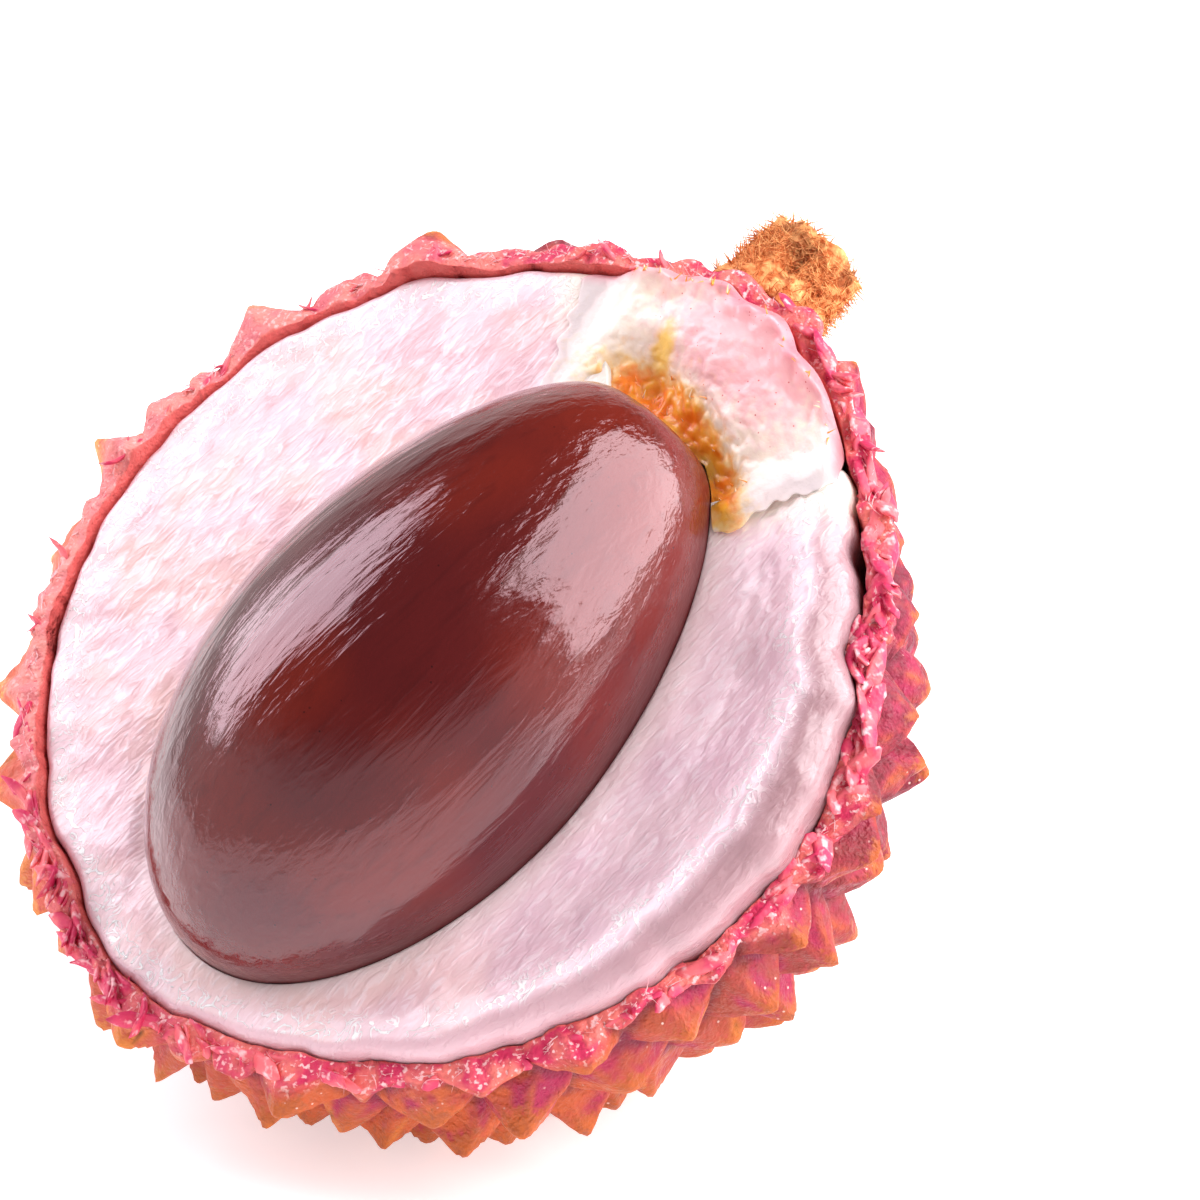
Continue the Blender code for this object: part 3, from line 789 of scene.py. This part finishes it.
def stalk_mesh():
    """The stub of the stalk, broken and shrunken."""
    from_end = np.linspace(0, math.pi, STALK_ROWS + 2)[1:-1, None]
    turn = np.linspace(-math.pi, math.pi, STALK_COLUMNS, endpoint=False)[None, :]
    out = np.sin(from_end)
    ball = np.stack([out * np.cos(turn), out * np.sin(turn), -np.cos(from_end) + 0 * turn], axis=-1)
    points, down = stalk_points(ball)
    outward = unit(ball[..., :1] * stalk_axes()[1] + ball[..., 1:2] * stalk_axes()[2] + ball[..., 2:] * stalk_axes()[0])
    shrunk = 0.30 * rough(points, 1.6, 1) + 0.14 * rough(points, 0.6, 2) + 0.06 * rough(points, 0.25, 3) - 0.12
    crease = 0.55 * bell(turned_apart(turn, math.radians(60.0)) * STALK_RADIUS, 0.35) * ease(-down, -0.75, 0.4)
    points += outward * (shrunk - crease)[..., None]
    marks = {"down": down, "crease": crease}
    return skin("stalk_fine", points, marks)


def strands(name, roots, ways, widths, curl, seed, sides=3, facing=None, flat=1.0, blunt=1.0, ruffle=0.0):
    """Many fine tapered strands or flaps in one mesh, each a bent closed tube from its root along its way.

    Facing is what the flat sides of flaps turn to, flat is their thickness by their width, blunt keeps them wide,
    and ruffle crumples them.
    """
    random = np.random.default_rng(seed)
    if facing is None:
        facing = unit(random.normal(0, 1, ways.shape))
    side = unit(np.cross(ways, facing))
    other = unit(np.cross(ways, side))
    bend = (other * random.normal(0, curl, (len(ways), 1))) * np.linalg.norm(ways, axis=1, keepdims=True)
    steps = np.linspace(0, 1, 6)
    corners = np.arange(sides) * 2 * math.pi / sides
    rings = []
    for step in steps:
        middle = roots + ways * step + bend * step**2
        width = widths[:, None] * (1 - 0.85 * step**blunt)
        for corner in corners:
            rings.append(middle + (side * math.cos(corner) + other * flat * math.sin(corner)) * width)
    vertices = np.stack(rings, axis=1).reshape(-1, 3)
    if ruffle:
        vertices += ruffle * rough_vectors(vertices, 0.6, seed)
    faces = []
    for ring in range(len(steps) - 1):
        for corner in range(sides):
            after = (corner + 1) % sides
            low, high = ring * sides, (ring + 1) * sides
            faces.append((low + corner, low + after, high + after, high + corner))
    per_strand = len(steps) * sides
    starts = np.arange(len(roots))[:, None, None] * per_strand
    quads = (np.array(faces)[None] + starts).reshape(-1, 4)
    caps = np.stack([np.arange(sides)[::-1], np.arange(per_strand - sides, per_strand)])
    caps = (caps[None] + starts).reshape(-1, sides)
    mesh = bpy.data.meshes.new(name)
    mesh.from_pydata(placed(vertices).tolist(), [], quads.tolist() + caps.tolist())
    add_mark(mesh, "own", np.repeat(random.uniform(0, 1, len(roots)), per_strand))
    add_fruit_places(mesh, vertices)
    mesh.shade_smooth()
    return mesh


def stalk_fibres_mesh():
    """Short broken fibres that stand off the stub."""
    random = np.random.default_rng(11)
    ball = unit(random.normal(0, 1, (STALK_FIBRES, 3)))
    points, _ = stalk_points(ball)
    axis, side, other = stalk_axes()
    outward = unit(ball[:, :1] * side + ball[:, 1:2] * other + ball[:, 2:] * axis)
    lying = unit(np.cross(outward, random.normal(0, 1, outward.shape)))
    ways = unit(lying + outward * random.uniform(0.1, 0.8, (STALK_FIBRES, 1)))
    ways = ways * random.uniform(0.35, 1.0, (STALK_FIBRES, 1))
    widths = random.uniform(0.025, 0.05, STALK_FIBRES)
    return strands("stalk_fibres", points - outward * 0.15, ways, widths, 0.35, 12)


def linear(red, green, blue):
    """A colour for a shader, from the 0 to 255 values that a picture shows."""
    values = np.array((red, green, blue)) / 255
    return (*np.where(values < 0.04045, values / 12.92, ((values + 0.055) / 1.055) ** 2.4), 1.0)


class Paint:
    """A material under way: each call adds a node and gives back the socket that it makes."""

    def __init__(self, name):
        self.material = bpy.data.materials.new(name)
        self.material.use_nodes = True
        self.tree = self.material.node_tree
        self.shader = self.tree.nodes["Principled BSDF"]
        self.place = self.mark("fruit", "Vector")

    def node(self, kind, **settings):
        made = self.tree.nodes.new("ShaderNode" + kind)
        for name, value in settings.items():
            setattr(made, name, value)
        return made

    def feed(self, socket, value):
        """Links the socket to another, or sets its value."""
        if isinstance(value, bpy.types.NodeSocket):
            self.tree.links.new(value, socket)
        else:
            socket.default_value = value

    def set(self, **inputs):
        """Feeds the shader's inputs, with _ for a space in their names."""
        for name, value in inputs.items():
            self.feed(self.shader.inputs[name.replace("_", " ")], value)

    def mark(self, name, output="Fac"):
        return self.node("Attribute", attribute_name=name).outputs[output]

    def stretched(self, turn=(0, 0, 0), scale=(1, 1, 1)):
        """The place in the fruit, turned and then scaled."""
        made = self.node("Mapping", vector_type="POINT")
        self.feed(made.inputs["Vector"], self.place)
        made.inputs["Rotation"].default_value = turn
        made.inputs["Scale"].default_value = scale
        return made.outputs["Vector"]

    def noise(self, size, detail=3.0, place=None, warp=0.0):
        made = self.node("TexNoise")
        self.feed(made.inputs["Vector"], place or self.place)
        made.inputs["Scale"].default_value = 1 / size
        made.inputs["Detail"].default_value = detail
        made.inputs["Distortion"].default_value = warp
        return made.outputs["Fac"]

    def cells(self, size, feature="F1", output="Distance", place=None):
        made = self.node("TexVoronoi", feature=feature)
        self.feed(made.inputs["Vector"], place or self.place)
        made.inputs["Scale"].default_value = 1 / size
        return made.outputs[output]

    def step(self, value, start, end, low=0.0, high=1.0):
        """From low to high as the value goes from start to end, with soft ends."""
        made = self.node("MapRange", interpolation_type="SMOOTHSTEP")
        for name, number in (("Value", value), ("From Min", start), ("From Max", end)):
            self.feed(made.inputs[name], number)
        made.inputs["To Min"].default_value = low
        made.inputs["To Max"].default_value = high
        return made.outputs["Result"]

    def sum(self, *values):
        return self.chain("ADD", values)

    def product(self, *values):
        return self.chain("MULTIPLY", values)

    def chain(self, operation, values):
        total = values[0]
        for value in values[1:]:
            made = self.node("Math", operation=operation)
            self.feed(made.inputs[0], total)
            self.feed(made.inputs[1], value)
            total = made.outputs[0]
        return total

    def mix(self, share, first, second):
        """The second colour over the first, by a share from 0 to 1."""
        made = self.node("Mix", data_type="RGBA")
        share_in, first_in, second_in = (made.inputs[index] for index in (0, 6, 7))
        self.feed(share_in, share)
        self.feed(first_in, first)
        self.feed(second_in, second)
        return made.outputs[2]

    def bump(self, height, depth, normal=None):
        """Bumps this many millimetres high where the height is 1."""
        made = self.node("Bump")
        made.inputs["Distance"].default_value = depth * MM
        self.feed(made.inputs["Height"], height)
        if normal:
            self.feed(made.inputs["Normal"], normal)
        return made.outputs["Normal"]


def rind_paint():
    """Dry rind: magenta sides, ochre tips and ridges, dark slits, painted shade in the seams, pale torn edge, salmon
    inner wall, painted light on the lit side.
    """
    paint = Paint("rind_skin")
    share, ridge, depth, painted_light_side = (paint.mark(name) for name in ("share", "ridge", "depth", "painted_light_side"))
    slit, slit_core, cut, inside = (paint.mark(name) for name in ("slit", "slit_core", "cut", "inside"))
    tanned = paint.mark("tanned")
    patches = paint.noise(1.6, 2.5)
    grain = paint.noise(0.28, 2.0)
    # Painted light: near the rim on the lit side, the sides and tips are painted lighter and peachier.
    painted_sunlit = paint.product(painted_light_side, paint.step(depth, 5.0, 0.5))

    side = paint.mix(paint.step(patches, 0.38, 0.62), linear(112, 12, 44), linear(158, 20, 68))
    side = paint.mix(paint.step(grain, 0.48, 0.78, 0.0, 0.4), side, linear(184, 60, 88))
    side = paint.mix(paint.product(tanned, paint.step(patches, 0.66, 0.42), 0.85), side, linear(206, 96, 40))
    side = paint.mix(paint.product(painted_sunlit, 0.8), side, linear(232, 118, 84))
    ochre = paint.mix(grain, linear(142, 56, 24), linear(206, 104, 40))
    ochre = paint.mix(painted_sunlit, ochre, linear(248, 160, 76))
    from_tip = paint.sum(share, paint.product(paint.sum(grain, -0.5), 0.7), paint.product(tanned, -0.25))
    tip = paint.step(from_tip, 0.32, 0.04)
    on_ridge = paint.product(ridge, paint.step(patches, 0.42, 0.62), paint.step(share, 1.0, 0.6), 0.85)
    colour = paint.mix(tip, side, ochre)
    colour = paint.mix(on_ridge, colour, ochre)
    colour = paint.mix(paint.product(slit, 0.85), colour, linear(215, 125, 45))
    colour = paint.mix(paint.product(slit_core, 0.9), colour, linear(75, 30, 15))
    # Painted shade: the seams between the tubercles are painted darker magenta, where shade gathers.
    painted_seam_shade = paint.step(share, 0.78, 0.98)
    colour = paint.mix(paint.product(painted_seam_shade, 0.7), colour, linear(96, 14, 34))
    flecks = paint.step(paint.cells(0.45), 0.16, 0.06)
    flecks = paint.product(flecks, paint.step(paint.noise(2.2, 1.0), 0.5, 0.62), 0.8)
    colour = paint.mix(flecks, colour, linear(245, 215, 205))

    shreds = paint.noise(0.22, 2.0)
    torn = paint.mix(paint.step(paint.noise(1.1, 2.5), 0.38, 0.62), linear(206, 44, 88), linear(232, 116, 108))
    torn = paint.mix(paint.step(shreds, 0.55, 0.68, 0.0, 0.85), torn, linear(252, 205, 205))
    # Painted light: the torn edge is painted lighter on the lit side.
    torn = paint.mix(paint.product(painted_light_side, 0.6), torn, linear(244, 164, 156))
    edge = paint.step(depth, 0.35, 0.0)
    colour = paint.mix(paint.product(edge, 0.5), colour, torn)
    colour = paint.mix(paint.step(cut, 0.15, 0.6), colour, torn)
    wall = paint.mix(paint.step(depth, 0.2, 2.0), linear(226, 104, 98), linear(226, 92, 92))
    # Painted light: the inner wall is painted a little lighter on the lit side.
    wall = paint.mix(paint.product(painted_light_side, 0.5), wall, linear(226, 100, 98))
    colour = paint.mix(paint.step(inside, 0.75, 0.98), colour, wall)

    rough_share = paint.step(grain, 0.3, 0.7, 0.42, 0.68)
    normal = paint.bump(paint.noise(0.16, 1.5), 0.08)
    normal = paint.bump(paint.noise(0.55, 3.0), 0.2, normal)
    paint.set(Base_Color=colour, Roughness=rough_share, Normal=normal, Specular_IOR_Level=0.35)
    return paint.material


def flesh_paint():
    """Wet translucent flesh: white with lilac, milky and wrinkled at its edge, fine strands in its cut face, painted
    shade on its swollen outer shoulder and by the seed.
    """
    paint = Paint("flesh_wet")
    face, from_crease, to_seed = (paint.mark(name) for name in ("face", "from_crease", "to_seed"))
    lifted, pith_near = paint.mark("lifted"), paint.mark("pith_near")
    strand_place = paint.stretched(turn=(0, 0, math.radians(-50.0)), scale=(0.28, 1.0, 1.0))
    strands_here = paint.noise(0.32, 2.5, strand_place, 1.2)
    clouds = paint.noise(3.5, 1.0)

    from_contour = paint.sum(paint.noise(0.8, 1.5, warp=1.5), -0.5)
    wriggles = paint.step(paint.product(from_contour, from_contour), 0.0012, 0.0001)
    near_edge = paint.product(paint.step(from_crease, 1.9, 0.2), face)

    lilac = paint.mix(paint.step(clouds, 0.35, 0.65), linear(228, 192, 206), linear(236, 204, 214))
    white = paint.mix(paint.step(clouds, 0.4, 0.65), linear(226, 188, 196), linear(232, 192, 190))
    colour = paint.mix(paint.step(lifted, 0.1, 0.75), white, lilac)
    thin = paint.step(strands_here, 0.48, 0.66, 0.0, 0.5)
    colour = paint.mix(thin, colour, linear(250, 232, 240))
    colour = paint.mix(paint.product(near_edge, 0.5), colour, linear(248, 228, 236))
    colour = paint.mix(paint.product(near_edge, wriggles), colour, linear(255, 252, 254))
    # Painted shade: the flesh right by the seed is painted a warmer pink, as a painted contact shade.
    colour = paint.mix(paint.step(to_seed, 1.8, 0.0, 0.0, 0.6), colour, linear(238, 210, 208))
    # Painted shade: the flesh's outside, seen on the shoulder over the rim, is painted darker where the shoulder swells
    # most.
    outer = paint.mix(lifted, linear(226, 188, 198), linear(164, 128, 134))
    colour = paint.mix(face, outer, colour)
    fading = paint.step(paint.sum(pith_near, paint.product(paint.sum(strands_here, -0.5), 0.9)), 0.1, 0.9)
    colour = paint.mix(paint.product(fading, 0.85), colour, linear(255, 240, 226))

    normal = paint.bump(strands_here, 0.09)
    normal = paint.bump(paint.product(near_edge, wriggles), 0.09, normal)
    normal = paint.bump(paint.noise(0.7, 2.0), 0.07, normal)
    paint.set(Base_Color=colour, Roughness=paint.step(strands_here, 0.3, 0.7, 0.42, 0.26), Normal=normal)
    paint.set(Subsurface_Weight=0.6, Subsurface_Radius=(1.0, 0.84, 0.88), Subsurface_Scale=0.0013)
    paint.set(Coat_Weight=0.5, Coat_Roughness=0.12)
    return paint.material


def seed_paint():
    """Glossy dark red-brown seed, warmer where it is thin, painted darker near the flesh as painted shade, its gloss
    broken by fine streaks along it.
    """
    paint = Paint("seed_gloss")
    scar = paint.mark("scar")
    along_place = paint.stretched(turn=(0, 0, -SEED_TURN), scale=(0.13, 1.0, 1.0))
    streaks = paint.noise(0.5, 3.5, along_place, 0.4)
    clouds = paint.noise(6.0, 1.0)
    colour = paint.mix(paint.step(clouds, 0.35, 0.7), linear(76, 20, 20), linear(98, 28, 20))
    colour = paint.mix(paint.product(paint.mark("stem_end"), 0.6), colour, linear(112, 32, 18))
    colour = paint.mix(paint.step(streaks, 0.5, 0.7, 0.0, 0.22), colour, linear(46, 10, 12))
    colour = paint.mix(paint.product(scar, 0.5), colour, linear(104, 40, 36))
    specks = paint.step(paint.cells(0.5), 0.12, 0.06)
    specks = paint.product(specks, paint.step(paint.noise(1.5), 0.5, 0.6), 0.6)
    colour = paint.mix(specks, colour, linear(34, 8, 8))
    contact = paint.mark("contact")
    # Painted shade: the seed is painted darker low down, where it sinks into the flesh.
    colour = paint.mix(paint.product(contact, 0.6), colour, linear(72, 14, 16))
    hairs = paint.noise(0.16, 2.0, along_place)
    normal = paint.bump(streaks, 0.06)
    normal = paint.bump(hairs, 0.012, normal)
    paint.set(Base_Color=colour, Roughness=paint.step(contact, 0.1, 1.0, 0.13, 0.42), Normal=normal)
    paint.set(IOR=1.62, Specular_Tint=(1.0, 0.74, 0.82, 1.0))
    paint.set(Coat_Weight=0.22, Coat_Roughness=0.05, Coat_IOR=1.5)
    return paint.material


def pith_paint():
    """Spongy cream pith, blushed pink at the rim, torn yellow and orange beside the seed."""
    paint = Paint("pith_sponge")
    orange, yellow, pink, rim_near, over_flesh = (
        paint.mark(name) for name in ("orange", "yellow", "pink", "rim_near", "over_flesh")
    )
    grain = paint.noise(0.5, 3.0)
    shaken = paint.product(paint.sum(grain, -0.5), 0.8)
    colour = paint.mix(grain, linear(255, 226, 206), linear(255, 242, 234))
    colour = paint.mix(paint.product(paint.step(paint.sum(pink, shaken), 0.2, 0.8), 0.8), colour, linear(246, 172, 182))
    colour = paint.mix(paint.product(over_flesh, 0.7), colour, linear(248, 222, 222))
    colour = paint.mix(paint.product(rim_near, 0.8), colour, linear(240, 120, 140))
    red_specks = paint.product(paint.step(paint.cells(0.35), 0.14, 0.06), paint.step(pink, 0.2, 0.6), 0.8)
    colour = paint.mix(red_specks, colour, linear(206, 50, 60))
    colour = paint.mix(paint.step(paint.sum(yellow, shaken), 0.3, 0.95), colour, linear(255, 206, 96))
    colour = paint.mix(paint.step(paint.sum(orange, shaken), 0.05, 0.55, 0.0, 0.8), colour, linear(255, 204, 108))
    burnt = paint.mix(paint.step(paint.noise(1.1, 2.0), 0.4, 0.62), linear(255, 130, 12), linear(255, 164, 44))
    colour = paint.mix(paint.step(paint.sum(orange, shaken), 0.3, 0.8), colour, burnt)
    normal = paint.bump(grain, 0.08)
    paint.set(Base_Color=colour, Roughness=0.45, Normal=normal)
    paint.set(Subsurface_Weight=0.6, Subsurface_Radius=(1.0, 0.92, 0.86), Subsurface_Scale=0.0009)
    paint.set(Coat_Weight=0.3, Coat_Roughness=0.2)
    return paint.material


def torn_paint():
    """Torn strings of pith, from cream to orange."""
    paint = Paint("torn_tissue")
    colour = paint.mix(paint.step(paint.mark("own"), 0.1, 0.7), linear(255, 226, 190), linear(255, 160, 60))
    paint.set(Base_Color=colour, Roughness=0.4, Coat_Weight=0.3)
    return paint.material


def shreds_paint(name, palest):
    """Shreds and flaps of the rind's torn edge, from magenta or salmon to pale: the palest is the share of pale."""
    paint = Paint(name)
    tint = paint.sum(paint.noise(1.1, 2.5), paint.product(paint.sum(paint.mark("own"), -0.5), 0.12))
    colour = paint.mix(paint.step(tint, 0.38, 0.62), linear(206, 40, 88), linear(230, 100, 108))
    pale = paint.step(paint.sum(paint.noise(0.4, 2.5), palest), 0.75, 0.95)
    colour = paint.mix(paint.product(pale, 0.8), colour, linear(252, 208, 210))
    paint.set(Base_Color=colour, Roughness=0.5, Normal=paint.bump(paint.noise(0.2, 1.5), 0.05))
    return paint.material


def stalk_paint(name):
    """Dry brown bark and fibre, with painted shade in the stub's crease."""
    paint = Paint(name)
    bark = paint.noise(0.35, 2.5)
    colour = paint.mix(paint.step(bark, 0.35, 0.65), linear(206, 112, 54), linear(255, 186, 118))
    # Painted shade: the crease down the stub is painted near black.
    colour = paint.mix(paint.step(paint.mark("crease"), 0.1, 0.4), colour, linear(60, 28, 10))
    colour = paint.mix(paint.step(paint.noise(1.4, 3.0), 0.44, 0.36, 0.0, 0.5), colour, linear(124, 58, 22))
    paint.set(Base_Color=colour, Roughness=0.85, Normal=paint.bump(bark, 0.15))
    return paint.material


def build_pieces():
    add_piece(rind_mesh(), rind_paint(), "rind")
    add_piece(flesh_mesh(), flesh_paint(), "flesh")
    add_piece(seed_mesh(), seed_paint(), "seed")
    add_piece(pith_mesh(), pith_paint(), "pith")
    add_piece(torn_fibres_mesh(), torn_paint(), "pith", replaces=False)
    add_piece(rim_flaps_mesh(), shreds_paint("rim_flap", 0.22), "rind", replaces=False)
    add_piece(rim_shreds_mesh(), shreds_paint("rim_shred", 0.45), "rind", replaces=False)
    add_piece(stalk_mesh(), stalk_paint("stalk_bark"), "stalk_stub")
    add_piece(stalk_fibres_mesh(), stalk_paint("stalk_fibre"), "stalk_stub", replaces=False)


def add_floor():
    """A plain white floor with a faint gloss."""
    shape = 1.5
    mesh = bpy.data.meshes.new("floor")
    corners = [(-shape, -shape), (shape, -shape), (shape, shape), (-shape, shape)]
    mesh.from_pydata([(x, y, -0.0002) for x, y in corners], [], [(0, 1, 2, 3)])
    floor = bpy.data.objects.new("floor", mesh)
    bpy.context.scene.collection.objects.link(floor)
    paint = bpy.data.materials.new("floor_white")
    paint.use_nodes = True
    shader = paint.node_tree.nodes["Principled BSDF"]
    shader.inputs["Base Color"].default_value = (0.93, 0.93, 0.93, 1)
    shader.inputs["Roughness"].default_value = 0.25
    shader.inputs["Emission Color"].default_value = (1, 1, 1, 1)
    shader.inputs["Emission Strength"].default_value = 0.5
    mesh.materials.append(paint)


def aim(thing, place, target):
    """Puts a light or camera at a place, looking at a target."""
    thing.location = place
    thing.rotation_euler = (Vector(target) - Vector(place)).to_track_quat("-Z", "Y").to_euler()
    bpy.context.scene.collection.objects.link(thing)


def add_soft_box(name, azimuth, elevation, wide, high, radiance, colour):
    """A soft light that fills these angles, in degrees, as the fruit sees it. Azimuth 0 is towards the viewer."""
    distance = 0.6
    turn, rise = math.radians(azimuth), math.radians(elevation)
    way = Vector((math.sin(turn) * math.cos(rise), -math.cos(turn) * math.cos(rise), math.sin(rise)))
    light = bpy.data.lights.new(name, "AREA")
    light.shape = "RECTANGLE"
    light.size = 2 * distance * math.tan(math.radians(wide / 2))
    light.size_y = 2 * distance * math.tan(math.radians(high / 2))
    light.energy = math.pi * radiance * light.size * light.size_y
    light.color = colour
    box = bpy.data.objects.new(name, light)
    box.visible_camera = False
    middle = Vector((0, 0, CENTRE_HEIGHT * MM))
    aim(box, middle + way * distance, middle)


def add_world():
    """A room that is bright low down and dim overhead, so that the gloss of the seed keeps its dark band."""
    world = bpy.data.worlds.new("studio")
    bpy.context.scene.world = world
    world.use_nodes = True
    nodes, links = world.node_tree.nodes, world.node_tree.links
    way = nodes.new("ShaderNodeTexCoord")
    parts = nodes.new("ShaderNodeSeparateXYZ")
    height = nodes.new("ShaderNodeMapRange")
    height.interpolation_type = "SMOOTHSTEP"
    height.inputs["From Min"].default_value = math.sin(math.radians(18.0))
    height.inputs["From Max"].default_value = math.sin(math.radians(40.0))
    height.inputs["To Min"].default_value = 0.9
    height.inputs["To Max"].default_value = 0.08
    links.new(way.outputs["Generated"], parts.inputs["Vector"])
    links.new(parts.outputs["Z"], height.inputs["Value"])
    links.new(height.outputs["Result"], nodes["Background"].inputs["Strength"])
    nodes["Background"].inputs["Color"].default_value = (1, 1, 1, 1)


def add_camera():
    """The camera of the photograph: looking down on the half, panned to keep it left of the middle."""
    right = Vector((1, 0, 0))
    up = Vector((0, math.sin(VIEW_DOWN), math.cos(VIEW_DOWN)))
    back = Vector((0, -math.cos(VIEW_DOWN), math.sin(VIEW_DOWN)))
    middle = Vector((0, 0, CENTRE_HEIGHT))
    camera = bpy.data.cameras.new("camera")
    camera.lens = CAMERA_LENS
    camera.sensor_width = CAMERA_SENSOR
    camera.clip_start = 0.01
    seen_by = bpy.data.objects.new("camera", camera)
    aim(seen_by, (middle + back * CAMERA_DISTANCE) * MM, (middle + right * AIM_RIGHT + up * AIM_UP) * MM)
    bpy.context.scene.camera = seen_by


def main():
    build_pieces()
    add_floor()
    add_world()
    add_soft_box("left_soft_box", -116, 37, 34, 44, 6.0, (1.0, 0.9, 0.98))
    add_soft_box("right_soft_box", 85, 40, 56, 66, 6.4, (1.0, 0.97, 0.98))
    add_camera()
    bpy.context.scene.view_settings.view_transform = "Standard"


main()
